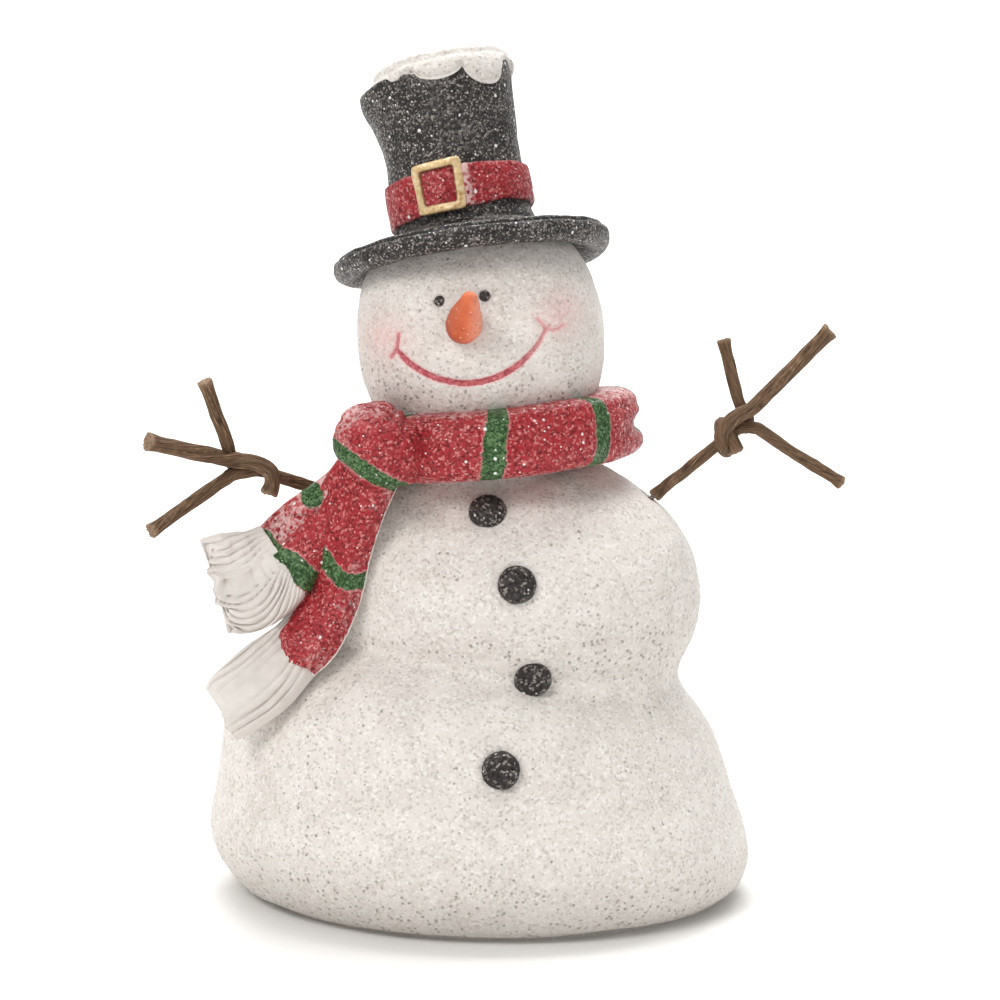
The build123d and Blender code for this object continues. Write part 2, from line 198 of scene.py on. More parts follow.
# ---------------------------------------------------------------- shaders
class Paint:
    """A node material. Places are in millimetres."""

    def __init__(self, name, **values):
        self.material = bpy.data.materials.new(name)
        self.material.use_nodes = True
        self.tree = self.material.node_tree
        self.shader = self.tree.nodes["Principled BSDF"]
        for key, value in values.items():
            self.shader.inputs[key.replace("_", " ")].default_value = value
        where = self.make("ShaderNodeTexCoord")
        scaled = self.make("ShaderNodeMapping", Scale=(1000, 1000, 1000))
        self.join(where.outputs["Object"], scaled.inputs["Vector"])
        self.place = scaled.outputs["Vector"]

    def make(self, kind, settings=None, **values):
        node = self.tree.nodes.new(kind)
        for key, value in (settings or {}).items():
            setattr(node, key, value)
        for key, value in values.items():
            node.inputs[key.replace("_", " ")].default_value = value
        return node

    def join(self, a, b):
        self.tree.links.new(a, b)

    def feed(self, socket, value):
        if isinstance(value, (int, float, tuple)):
            socket.default_value = value
        else:
            self.join(value, socket)

    def noise(self, scale, detail=3, rough=0.6, place=None):
        node = self.make("ShaderNodeTexNoise", Scale=scale, Detail=detail, Roughness=rough)
        self.join(place or self.place, node.inputs["Vector"])
        return node.outputs["Fac"]

    def cells(self, scale):
        node = self.make("ShaderNodeTexVoronoi", Scale=scale)
        self.join(self.place, node.inputs["Vector"])
        return node

    def chance(self, cells):
        """A number for each cell, the same all over it."""
        node = self.make("ShaderNodeSeparateColor")
        self.join(cells.outputs["Color"], node.inputs["Color"])
        return node.outputs["Red"]

    def math(self, operation, a, b=0.0, clamp=False):
        node = self.make("ShaderNodeMath", {"operation": operation, "use_clamp": clamp})
        self.feed(node.inputs[0], a)
        self.feed(node.inputs[1], b)
        return node.outputs["Value"]

    def span(self, value, low, high, to_low=0.0, to_high=1.0):
        node = self.make("ShaderNodeMapRange", {"interpolation_type": "SMOOTHSTEP"},
                         From_Min=low, From_Max=high, To_Min=to_low, To_Max=to_high)
        self.join(value, node.inputs["Value"])
        return node.outputs["Result"]

    def ramp(self, value, *stops):
        node = self.make("ShaderNodeValToRGB")
        bar = node.color_ramp.elements
        while len(bar) < len(stops):
            bar.new(1.0)
        for element, (at, colour) in zip(bar, stops):
            element.position = at
            element.color = colour
        self.join(value, node.inputs["Fac"])
        return node.outputs["Color"]

    def mix(self, share, a, b):
        """A colour between a and b. The node's colours are its seventh and eighth inputs."""
        node = self.make("ShaderNodeMix", {"data_type": "RGBA"})
        self.feed(node.inputs["Factor"], share)
        self.feed(node.inputs[6], a)
        self.feed(node.inputs[7], b)
        return node.outputs[2]

    def mask(self, name):
        return self.make("ShaderNodeAttribute", {"attribute_name": name}).outputs["Fac"]

    def bump(self, height, strength, distance, under=None):
        """Relief, with distance in millimetres."""
        node = self.make("ShaderNodeBump", Strength=strength, Distance=distance * MM)
        self.join(height, node.inputs["Height"])
        if under is not None:
            self.join(under, node.inputs["Normal"])
        return node.outputs["Normal"]

    def set(self, key, value):
        self.join(value, self.shader.inputs[key])

    def underside(self):
        """0 on top, 1 where the surface faces down; it drives painted shade on the snow."""
        where = self.make("ShaderNodeNewGeometry")
        parts = self.make("ShaderNodeSeparateXYZ")
        self.join(where.outputs["Normal"], parts.inputs[0])
        return self.span(parts.outputs["Z"], 0.25, -0.75)

    def dots(self, scale, size, share):
        """Round flecks: cells of 1 / scale mm, of which that share holds one of that size."""
        cells = self.cells(scale)
        near = self.span(cells.outputs["Distance"], size * scale * 1.15, size * scale * 0.75)
        return self.math("MULTIPLY", near, self.math("LESS_THAN", self.chance(cells), share))


def grain(paint, coarse=0.30, fine=0.16):
    """The sandy relief of a coat of glitter."""
    grit = paint.cells(1.55)
    soft = paint.noise(1.1, 4, 0.65)
    first = paint.bump(soft, 0.8, coarse)
    return paint.bump(grit.outputs["Distance"], 0.55, fine, first)


def snow_paint(name, face=False):
    p = Paint(name, Roughness=0.62, Specular_IOR_Level=0.35)
    tone = p.ramp(p.noise(0.12, 3), (0.3, (0.700, 0.655, 0.612, 1)), (0.7, (0.800, 0.760, 0.720, 1)))
    fleck = p.chance(p.cells(1.9))
    tone = p.mix(p.span(fleck, 0.72, 1.0, 0, 0.60), tone, (0.92, 0.90, 0.88, 1))
    tone = p.mix(p.span(fleck, 0.30, 0.0, 0, 0.60), tone, (0.46, 0.42, 0.385, 1))
    # how far the surface faces down, which drives painted shade below
    low = p.underside()
    pits = p.math("MAXIMUM", p.dots(0.50, 0.36, 0.16), p.dots(0.90, 0.24, 0.14))
    # painted shade: more dark pits where the surface faces down
    underside_shade_pits = p.math("MULTIPLY", p.dots(0.70, 0.38, 0.60), p.span(low, 0.0, 0.55))
    patch = p.span(p.noise(0.045, 2), 0.38, 0.60, 0.25, 1.0)
    pits = p.math("MAXIMUM", p.math("MULTIPLY", pits, patch), underside_shade_pits)
    tone = p.mix(p.math("MULTIPLY", pits, 0.70), tone, (0.21, 0.18, 0.16, 1))
    # painted shade: darker where the surface faces down
    tone = p.mix(p.math("MULTIPLY", low, 0.34), tone, (0.46, 0.42, 0.38, 1))
    if face:
        blush = p.math("MULTIPLY", p.mask("blush"), p.span(p.noise(0.9, 3), 0.25, 0.75, 0.35, 1))
        tone = p.mix(p.math("MULTIPLY", blush, 0.60), tone, (0.72, 0.33, 0.33, 1))
        ragged = p.math("ADD", p.mask("smile"), p.span(p.noise(1.6, 3), 0.2, 0.8, -0.22, 0.22))
        tone = p.mix(p.span(ragged, -0.85, 0.0, 0, 0.60), tone, (0.80, 0.44, 0.43, 1))
        red = p.ramp(p.noise(0.9, 4, 0.8), (0.30, (0.22, 0.035, 0.05, 1)),
                     (0.50, (0.50, 0.10, 0.12, 1)), (0.72, (0.78, 0.34, 0.34, 1)))
        tone = p.mix(p.math("MULTIPLY", p.span(ragged, 0.0, 0.22), p.mask("deep")), tone, red)
    else:
        # painted shade: nearly black inside the arm holes
        tone = p.mix(p.span(p.mask("hole_shade"), -0.25, 0.25), tone, (0.05, 0.035, 0.025, 1))
    p.set("Base Color", tone)
    glint = p.dots(1.1, 0.2, 0.10)
    p.set("Roughness", p.span(glint, 0, 1, 0.66, 0.18))
    hollow = p.bump(p.math("SUBTRACT", 1.0, pits), 0.7, 0.25, grain(p))
    p.set("Normal", hollow)
    return p.material


def glitter_paint(name, dark, mid, pale, white=0.10, frost=0.0, stripe=False, frosted=False,
                  painted_line_shade=False, size=2.1):
    """Paint under a coat of glitter: cells of colour, a few of them silver. The piece's masks
    place its green stripes, its frost, its bare plaster and its dark line of painted shade."""
    p = Paint(name, Roughness=0.42, Specular_IOR_Level=0.38)
    cell = p.chance(p.cells(size))
    wash = p.noise(0.16, 4, 0.6)
    worn = p.span(wash, 0.38, 0.72)
    tone = p.ramp(cell, (0.0, dark), (0.42, mid), (0.75, mid), (0.97, pale))
    veil = p.math("MULTIPLY", worn, p.span(p.chance(p.cells(1.7)), 0.35, 0.9))
    tone = p.mix(p.math("MULTIPLY", veil, frost), tone, pale)
    if frosted:
        thick = p.span(p.math("ADD", p.mask("frost"), p.span(p.noise(0.7, 4, 0.75), 0.2, 0.8, -0.45, 0.45)),
                       0.25, 1.05)
        speck = p.span(p.chance(p.cells(1.3)), 0.12, 0.62)
        tone = p.mix(p.math("MULTIPLY", p.math("MULTIPLY", thick, speck), 0.72), tone, (0.78, 0.58, 0.56, 1))
    if stripe:
        green = p.ramp(p.chance(p.cells(2.2)), (0.0, (0.006, 0.026, 0.005, 1)),
                       (0.5, (0.024, 0.082, 0.016, 1)), (0.95, (0.12, 0.22, 0.09, 1)))
        edge = p.math("ADD", p.mask("stripe"), p.span(p.noise(0.9, 3), 0.2, 0.8, -0.35, 0.35))
        halo = p.math("MULTIPLY", p.span(edge, -0.55, -0.05), p.span(edge, 0.25, -0.05))
        tone = p.mix(p.math("MULTIPLY", halo, 0.35), tone, (0.72, 0.38, 0.38, 1))
        tone = p.mix(p.span(edge, -0.08, 0.12), tone, green)
    if frosted:
        bare = p.span(p.math("ADD", p.mask("bare"), p.span(p.noise(1.0, 2), 0.2, 0.8, -0.25, 0.25)),
                      -0.1, 0.15)
        tone = p.mix(bare, tone, (0.82, 0.78, 0.745, 1))
    silver = p.math("MAXIMUM", p.dots(0.48, 0.40, white), p.dots(1.15, 0.22, 0.6 * white))
    # painted shade: the hat's dark line in its brim groove and roll seam
    if painted_line_shade:
        tone = p.mix(p.math("MULTIPLY", p.mask("line"), 0.9), tone, dark)
    tone = p.mix(p.math("MULTIPLY", silver, 0.85), tone, (0.93, 0.91, 0.90, 1))
    p.set("Base Color", tone)
    p.set("Roughness", p.ramp(cell, (0.0, (0.75, 0.75, 0.75, 1)),
                              (0.7, (0.45, 0.45, 0.45, 1)), (1.0, (0.20, 0.20, 0.20, 1))))
    p.set("Normal", grain(p, 0.20, 0.16))
    return p.material


def fringe_paint():
    p = Paint("fringe_plaster", Roughness=0.7, Specular_IOR_Level=0.3)
    tone = p.ramp(p.noise(0.14, 4), (0.3, (0.62, 0.58, 0.54, 1)), (0.7, (0.76, 0.72, 0.685, 1)))
    # painted shade: darker down the grooves between the strands
    shaded_groove = p.span(p.mask("shaded_groove"), 0.25, 1.0)
    tone = p.mix(p.math("MULTIPLY", shaded_groove, 0.72), tone, (0.40, 0.34, 0.30, 1))
    tone = p.mix(p.math("MULTIPLY", p.mask("rosy"), 0.35), tone, (0.80, 0.55, 0.52, 1))
    p.set("Base Color", tone)
    p.set("Normal", p.bump(p.noise(1.3, 4, 0.7), 0.5, 0.16))
    return p.material


def twig_paint():
    """Twisted brown paper round a wire."""
    p = Paint("twig_paper", Roughness=0.72, Specular_IOR_Level=0.3)
    line = p.mask("fibre")
    joined = p.make("ShaderNodeCombineXYZ")
    p.join(line, joined.inputs["X"])
    p.join(p.math("MULTIPLY", p.mask("run"), 0.10), joined.inputs["Y"])
    strands = p.noise(2.6, 4, 0.7, joined.outputs[0])
    tone = p.ramp(strands, (0.32, (0.026, 0.014, 0.008, 1)), (0.46, (0.110, 0.062, 0.033, 1)),
                  (0.58, (0.195, 0.118, 0.066, 1)), (0.72, (0.44, 0.29, 0.175, 1)))
    # painted shade: darker in the clefts between the plies
    tone = p.mix(p.span(p.mask("cleft_shade"), 0.2, 1.0, 0, 0.75), tone, (0.025, 0.014, 0.008, 1))
    frayed = p.math("MULTIPLY", p.mask("cut"), p.span(p.noise(1.8, 3), 0.3, 0.7, 0.35, 1))
    tone = p.mix(p.math("MULTIPLY", frayed, 0.8), tone, (0.46, 0.33, 0.22, 1))
    p.set("Base Color", tone)
    p.set("Normal", p.bump(p.noise(1.5, 3), 0.3, 0.08, p.bump(strands, 0.85, 0.22)))
    return p.material


def wire_paint():
    p = Paint("wire_steel", Metallic=0.75, Roughness=0.42)
    p.set("Base Color", p.ramp(p.noise(0.9, 4), (0.35, (0.16, 0.10, 0.07, 1)),
                               (0.65, (0.50, 0.45, 0.40, 1))))
    p.set("Normal", p.bump(p.noise(2.0, 3), 0.25, 0.05))
    return p.material


def gold_paint():
    p = Paint("buckle_gold", Metallic=0.35, Roughness=0.40, Specular_IOR_Level=0.6)
    wear = p.noise(0.75, 5, 0.75)
    tone = p.ramp(wear, (0.28, (0.20, 0.085, 0.030, 1)), (0.40, (0.60, 0.39, 0.17, 1)),
                  (0.56, (0.80, 0.62, 0.36, 1)), (0.78, (0.92, 0.84, 0.68, 1)))
    # painted shade: darker brown on the frame's inner walls round its window
    tone = p.mix(p.span(p.mask("inner"), 0.35, 1.0, 0, 0.7), tone, (0.17, 0.07, 0.03, 1))
    p.set("Base Color", tone)
    p.set("Roughness", p.span(wear, 0.3, 0.7, 0.62, 0.30))
    p.set("Normal", p.bump(p.noise(1.2, 4), 0.6, 0.18))
    return p.material


def nose_paint():
    p = Paint("nose_orange", Roughness=0.55, Specular_IOR_Level=0.4)
    tone = p.ramp(p.noise(0.35, 4), (0.3, (0.60, 0.105, 0.035, 1)), (0.7, (0.76, 0.185, 0.062, 1)))
    # painted highlight: the lit right side lighter and pinker
    tone = p.mix(p.math("MULTIPLY", p.mask("rosy"), 0.62), tone, (0.80, 0.36, 0.26, 1))
    # painted shade: the left side and the base darker
    tone = p.mix(p.math("MULTIPLY", p.mask("painted_nose_shade"), 0.75), tone, (0.34, 0.045, 0.016, 1))
    pits = p.math("MULTIPLY", p.dots(1.15, 0.20, 0.42), p.span(p.mask("rosy"), 0, 1, 0.25, 0.8))
    tone = p.mix(pits, tone, (0.16, 0.055, 0.03, 1))
    tone = p.mix(p.dots(1.3, 0.16, 0.08), tone, (0.95, 0.84, 0.78, 1))
    p.set("Base Color", tone)
    p.set("Normal", grain(p, 0.10, 0.07))
    return p.material


def felt_paint():
    p = Paint("felt_base", Roughness=0.95, Sheen_Weight=0.4)
    p.set("Base Color", p.ramp(p.noise(1.2, 5, 0.8), (0.3, (0.50, 0.47, 0.43, 1)),
                               (0.7, (0.68, 0.65, 0.61, 1))))
    p.set("Normal", p.bump(p.noise(3.0, 5, 0.8), 0.8, 0.20))
    return p.material


def plug_paint():
    p = Paint("plug_plastic", Roughness=0.5)
    p.set("Base Color", p.ramp(p.noise(0.4, 4), (0.3, (0.60, 0.58, 0.55, 1)),
                               (0.7, (0.70, 0.68, 0.65, 1))))
    p.set("Normal", p.bump(p.noise(1.6, 2), 0.2, 0.05))
    return p.material


snow = snow_paint("snow_glitter")
face_snow = snow_paint("snow_face", face=True)
SCARF_TONES = ((0.11, 0.004, 0.008, 1), (0.36, 0.014, 0.022, 1), (0.60, 0.20, 0.19, 1))
scarf_red = glitter_paint("scarf_glitter", *SCARF_TONES, white=0.10, frost=0.14, stripe=True,
                          frosted=True)
band_red = glitter_paint("band_glitter", *SCARF_TONES, white=0.08, frost=0.25, frosted=True)
HAT_TONES = ((0.003, 0.003, 0.003, 1), (0.022, 0.019, 0.018, 1), (0.34, 0.31, 0.29, 1))
hat_black = glitter_paint("hat_glitter", *HAT_TONES, white=0.15, frost=0.32, painted_line_shade=True, size=2.9)
button_black = glitter_paint("button_glitter", (0.004, 0.003, 0.003, 1), (0.020, 0.016, 0.015, 1),
                             (0.30, 0.26, 0.24, 1), white=0.16, frost=0.15)
eye_black = glitter_paint("eye_black", (0.006, 0.005, 0.005, 1), (0.030, 0.024, 0.022, 1),
                          (0.22, 0.19, 0.18, 1), white=0.02, frost=0.1)
fringe_white = fringe_paint()
twig_brown = twig_paint()
wire_steel = wire_paint()
gold = gold_paint()
nose_orange = nose_paint()
felt_grey = felt_paint()
plug_grey = plug_paint()


# ---------------------------------------------------------------- body
BEYOND = 110.0      # further than any of the body's surface from its middle line
WAIST = curve([(-38, 34), (-24, 30), (0, 27.5), (20, 26), (44, 29)], 24)


def egg(p, centre, size, way=None):
    """Signed distance, nearly, from an ellipsoid."""
    q = np.asarray(p) - np.array(centre, float)
    if way is not None:
        q = q @ way
    size = np.array(size, float)
    near = np.linalg.norm(q / size, axis=-1)
    return near * (near - 1) / np.maximum(np.linalg.norm(q / size**2, axis=-1), 1e-9)


def meld(a, b, soft):
    """A union whose crease is filled over that width."""
    h = np.maximum(soft - np.abs(a - b), 0) / soft
    return np.minimum(a, b) - h * h * soft / 4


def body_distance(p):
    x, z = p[..., 0], p[..., 2]
    roll = egg(p, (0.4, 0, 12.5), (61.9, 52.5, 28.5), tilted(2, -6, -10))
    belly = egg(p, (-1, 0, 29.5), (57.6, 47.5, 37), turn_y(7))
    chest = egg(p, (10, 0, 68), (41, 37, 32.5))
    flank = egg(p, (-8, -1, 69), (32, 27, 33))
    low = meld(roll, belly, 9.0)
    high = meld(chest, flank, 7.0)
    d = meld(low, high, 1.6 + 5.5 * ease(5, 45, x))
    neck = np.maximum(np.hypot(x - 1.1, p[..., 1] + 1) - 17.5, np.abs(z - 84) - 18)
    d = meld(d, neck, 4.0)
    floor = 1.2 - z
    h = np.maximum(1.6 - np.abs(d - floor), 0) / 1.6
    d = np.maximum(d, floor) + h * h * 0.4
    return np.maximum(d, z - 102)


def cast(origin, way):
    """How far each ray from inside the body goes to its surface."""
    low, high = np.zeros(way.shape[:-1]), np.full(way.shape[:-1], BEYOND)
    for _ in range(22):
        mid = (low + high) / 2
        inside = body_distance(origin + way * mid[..., None]) < 0
        low, high = np.where(inside, mid, low), np.where(inside, high, mid)
    return (low + high) / 2


def front_of_body(x, z):
    """The body's frontmost point at x and z, and its outward normal."""
    reach = cast(np.array([[x, -1.0, z]]), np.array([[0.0, -1.0, 0.0]]))[0]
    point = np.array([x, -1.0 - reach, z])
    step = 0.4
    slope = [body_distance((point + move)[None])[0] - body_distance((point - move)[None])[0]
             for move in step * np.eye(3)]
    return point, np.array(slope) / np.linalg.norm(slope)


BUTTONS = [front_of_body(10 + x, 68 + z)
           for x, z in ((-7.4, 22.6), (-1.1, 8.0), (2.4, -13.0), (-4.4, -29.8))]
JOINTS = {j["name"]: np.array(j["pos_m"]) / MM for j in frame["joints"]}


def make_body():
    around = np.linspace(0, 2 * math.pi, 480, endpoint=False)
    rows = [((0.0, 0, 14.0), a) for a in np.linspace(-88, 0, 36)[:-1]]
    rows += [((8.0 * t, 0, 14 + 54 * t), 0.0) for t in np.linspace(0, 1, 112)[:-1]]
    rows += [((8.0, 0, 68.0), a) for a in np.linspace(0, 88, 58)]
    origin = np.array([r[0] for r in rows])[:, None, :]
    lift = np.radians([r[1] for r in rows])[:, None]
    way = np.stack([np.cos(lift) * np.sin(around), -np.cos(lift) * np.cos(around),
                    np.sin(lift) * np.ones_like(around)], -1)
    p = origin + way * cast(origin, way)[..., None]
    side = ease(1.3, 6, p[..., 2]) * ease(101.9, 99, p[..., 2])
    bumps = 0.42 * lumps(p, 17, 3) + 0.16 * lumps(p, 5.5, 9) + 0.06 * noise(p, 1.6, 5)
    bumps -= 0.45
    folds = off_line(p[..., 0], p[..., 2], WAIST)[0]
    bumps -= np.where(p[..., 1] < 0, 0.7 * np.exp(-(folds / 3.2) ** 2), 0)
    for point, _ in BUTTONS:
        d = np.linalg.norm(p - point - np.array([0.3, 0, -1.2]), axis=-1)
        bumps -= 0.55 * np.exp(-(d / 4.6) ** 4)
    # where the arm holes are sunk, for the painted shade in them
    hole_shade = np.full(p.shape[:2], -9.0)
    for name, shift in (("left_arm_raise", (0.8, -1.2, 0.9)), ("right_arm_raise", (-0.9, -1.2, 0.8))):
        d = np.linalg.norm(p - JOINTS[name] - np.array(shift), axis=-1)
        hole_shade = np.maximum(hole_shade, 1.25 - d)
        bumps -= 1.5 * np.exp(-(d / 1.5) ** 4)
    p = p + way * (bumps * side)[..., None]
    body = grid("snow_body", p, {"hole_shade": hole_shade})
    finish_piece(body, "figure", ["body_casting"], snow)


def lathe(name, place, rings, count, wobble, seed):
    """A turned piece: rings of radius and height, with a little hand-made unevenness."""
    origin, axes = place
    around = np.linspace(0, 2 * math.pi, count, endpoint=False)
    r = np.array([ring[0] for ring in rings])[:, None]
    h = np.array([ring[1] for ring in rings])[:, None] * np.ones_like(around)
    p = np.stack([r * np.cos(around), r * np.sin(around), h], -1)
    p = p * (1 + wobble * lumps(p, 2.6, seed, 2)[..., None])
    return grid(name, origin + p @ axes.T)


def standing(way):
    """Axes whose third is way."""
    z = np.array(way, float) / np.linalg.norm(way)
    x = np.cross((0.0, 0.0, 1.0), z)
    x /= np.linalg.norm(x)
    return np.stack([x, np.cross(z, x), z], 1)


def make_buttons():
    for number, (point, normal) in enumerate(BUTTONS, 1):
        t = np.linspace(0, 1, 34)
        rings = [(3.6 * k, -1.2) for k in (0.1, 0.6)] + [(4.05, -0.9)]
        rings += [(4.1 * math.cos(a) ** 0.55, 0.1 + 2.45 * math.sin(a) ** 1.25)
                  for a in t * math.radians(87)]
        piece = lathe(f"coal_button_{number}", (point - normal * 0.45, standing(normal)), rings,
                      count=110, wobble=0.035, seed=20 + number)
        finish_piece(piece, "figure", [f"button_{number}"], button_black)


# ---------------------------------------------------------------- head and face
HEAD = np.array([1.1, -1.0, 126.0])
HEAD_WAY = tilted(-7, -10, -9)
HEAD_SIZE = np.array([27.4, 26.0, 28.5])
SMILE = curve([(-17.6, -1.3), (-14.8, -4.2), (-9.5, -7.1), (-3.5, -8.1), (2.5, -7.1), (8.0, -4.2),
               (12.0, -0.2), (14.0, 3.6)], 48)
LEFT_DIMPLE = curve([(-17.2, 2.2), (-17.7, -0.9), (-19.0, -2.9)], 12)
RIGHT_DIMPLE = curve([(12.1, 5.7), (13.9, 3.9), (15.7, 3.2), (17.6, 4.1)], 12)
CHEEKS = ((-20.0, 1.2, 5.6), (17.0, 6.6, 5.4))
EYES = ((-9.0, 9.6), (1.0, 10.7))


def head_shell(u, v):
    way = np.stack([np.cos(v) * np.sin(u), -np.cos(v) * np.cos(u), np.sin(v) * np.ones_like(u)], -1)
    size = np.sum(np.abs(way) ** 2.28, axis=-1) ** (-1 / 2.28)
    return way, way * size[..., None] * HEAD_SIZE


def make_head():
    turn = np.linspace(-math.pi, math.pi, 310, endpoint=False)
    u = (turn - 0.45 * np.sin(turn))[None, :]
    v = np.linspace(-math.radians(88), math.radians(88), 320)[:, None]
    way, local = head_shell(u * np.ones_like(v), v)
    p = local @ HEAD_WAY.T
    out = way @ HEAD_WAY.T
    x, z, front = p[..., 0], p[..., 2], ease(-4, -10, p[..., 1])
    bumps = 0.20 * lumps(p, 9, 31) + 0.07 * noise(p, 1.5, 35) - 0.2
    for cx, cz, r in CHEEKS:
        bumps += 0.9 * front * np.exp(-(((x - cx) ** 2 + (z - cz) ** 2) / r**2))
    smile, along = off_line(x, z, SMILE)
    width = 0.72 - 0.30 * ease(0.72, 1.0, along) - 0.22 * ease(0.06, 0.0, along)
    left, _ = off_line(x, z, LEFT_DIMPLE)
    right, _ = off_line(x, z, RIGHT_DIMPLE)
    ink = np.maximum.reduce([width - smile, 0.42 - left, 0.34 - right])
    deep = np.where(smile <= np.minimum(left, right), 1.0 - 0.45 * ease(0.70, 0.95, along),
                    np.where(left < right, 0.75, 0.35))
    bumps -= front * (0.42 * np.exp(-(smile / (width * 0.9)) ** 2)
                      + 0.30 * np.exp(-(left / 0.55) ** 2) + 0.30 * np.exp(-(right / 0.55) ** 2))
    for ex, ez in EYES:
        bumps -= 0.55 * front * np.exp(-(((x - ex) ** 2 + (z - ez) ** 2) / 1.45**2) ** 2)
    blush = front * sum(np.exp(-(((x - cx) ** 2 + (z - cz) ** 2) / (r * 0.95) ** 2))
                        for cx, cz, r in CHEEKS)
    ink = np.where(front > 0.3, ink, -5.0)
    p = HEAD + p + out * bumps[..., None]
    under_hat = (p - HAT) @ LIE
    r = np.hypot(under_hat[..., 0], under_hat[..., 1])
    brim_r, brim_z = [15.6, 19, 22, 25.3, 27.5], [-1.6, -2.8, -3.7, -5.0, -5.8]
    limit = np.where((r < 14.4) | (r >= 27.5), 99.0, np.interp(r, brim_r, brim_z))
    under_hat[..., 2] = np.minimum(under_hat[..., 2], limit)
    p = HAT + under_hat @ LIE.T
    head = grid("snow_head", p, {"smile": ink / 0.5, "deep": deep, "blush": np.clip(blush, 0, 1)})
    finish_piece(head, "figure", ["head_casting"], face_snow)


def on_head(x, z):
    """The point of the head's face at x and z from its centre, and its normal."""
    u = np.linspace(-1.4, 1.4, 160)[None, :]
    v = np.linspace(-1.2, 1.2, 160)[:, None]
    _, local = head_shell(u * np.ones_like(v), v)
    p = local @ HEAD_WAY.T
    k = np.argmin((p[..., 0] - x) ** 2 + (p[..., 2] - z) ** 2)
    normal = (local.reshape(-1, 3)[k] / HEAD_SIZE**2) @ HEAD_WAY.T
    return HEAD + p.reshape(-1, 3)[k], normal / np.linalg.norm(normal)


def make_face():
    for name, node, (x, z) in (("left_eye_dot", "left_eye", EYES[0]),
                               ("right_eye_dot", "right_eye", EYES[1])):
        point, normal = on_head(x, z)
        rings = [(0.5, -1.4), (1.05, -1.3), (1.15, -0.5)]
        rings += [(1.1 * math.cos(a) ** 0.6, -0.1 + 0.5 * math.sin(a))
                  for a in np.radians(np.linspace(0, 86, 12))]
        piece = lathe(name, (point - normal * 0.42, standing(normal)), rings, count=48, wobble=0.10,
                      seed=50 + len(name))
        finish_piece(piece, "figure", [node], eye_black)
    point, _ = on_head(-3.9, 3.6)
    way = standing((1.7, -12.0, 7.8))
    t = np.linspace(0, 1, 90)[:, None]
    around = np.linspace(0, 2 * math.pi, 110, endpoint=False)[None, :]
    start, end = -2.0, 15.0
    reach = start + (end - start) * t
    body = np.interp(t, [0, 0.10, 0.22, 0.45, 0.75, 0.93, 1.0], [2.2, 3.3, 3.85, 3.45, 2.35, 1.65, 1.2])
    r = body * np.sqrt(np.clip(1 - ((t - 0.93) / 0.0705).clip(0, 1) ** 2, 0.004, 1)) * np.ones_like(around)
    local = np.stack([r * np.cos(around), r * np.sin(around), reach * np.ones_like(around)], -1)
    local[..., 0] *= 1.02
    local = local * (1 + 0.030 * lumps(local, 3.4, 61, 2)[..., None] * np.array([1, 1, 0.1]))
    p = point + local @ way.T
    side = local[..., 0] / 3.9
    # the lit side of the nose, for its painted highlight
    lit_side = ease(-0.35, 0.75, side)
    # painted shade on the nose's left side and at its base
    painted_nose_shade = np.clip(ease(0.1, -1.0, side) * 0.8 + ease(0.35, 0.0, t) * ease(0.9, -0.2, side), 0, 1)
    nose = grid("carrot_nose", p, {"rosy": lit_side * ease(0.0, 0.3, t), "painted_nose_shade": painted_nose_shade * np.ones_like(side)})
    finish_piece(nose, "figure", ["nose"], nose_orange)


# ---------------------------------------------------------------- hat
HAT = np.array([-1.5, 1.2, 149.5])
LIE = tilted(-8, -10, -11)
STAND = LIE @ turn_y(-4)
STAND_AT = HAT + LIE @ np.array([-0.9, 0, 0])
CROWN_H = 35.0
CROWN_SLOPE = 3     # degrees that the crown's top falls to the left
TOP = STAND @ turn_y(-CROWN_SLOPE)
TOP_AT = STAND_AT + STAND @ np.array([0, 0, CROWN_H])


def crown_radius(z, angle):
    """The crown's uneven side, by height and angle from its front."""
    base = np.interp(z, [-6, 0, 11, 18, 25, 31, 36], [15.1, 15.1, 15.1, 15.2, 15.9, 16.3, 16.3])
    left = np.clip(-np.sin(angle), 0, 1) ** 2
    right = np.clip(np.sin(angle), 0, 1) ** 2
    base = base + left * (2.0 * np.exp(-((z - 32.6) / 6.0) ** 2) - 0.2 * np.exp(-((z - 18) / 5) ** 2))
    base = base - left * 2.2 * ease(33.6, 35.2, z)
    return base - right * 0.35 * ease(12, 30, z)


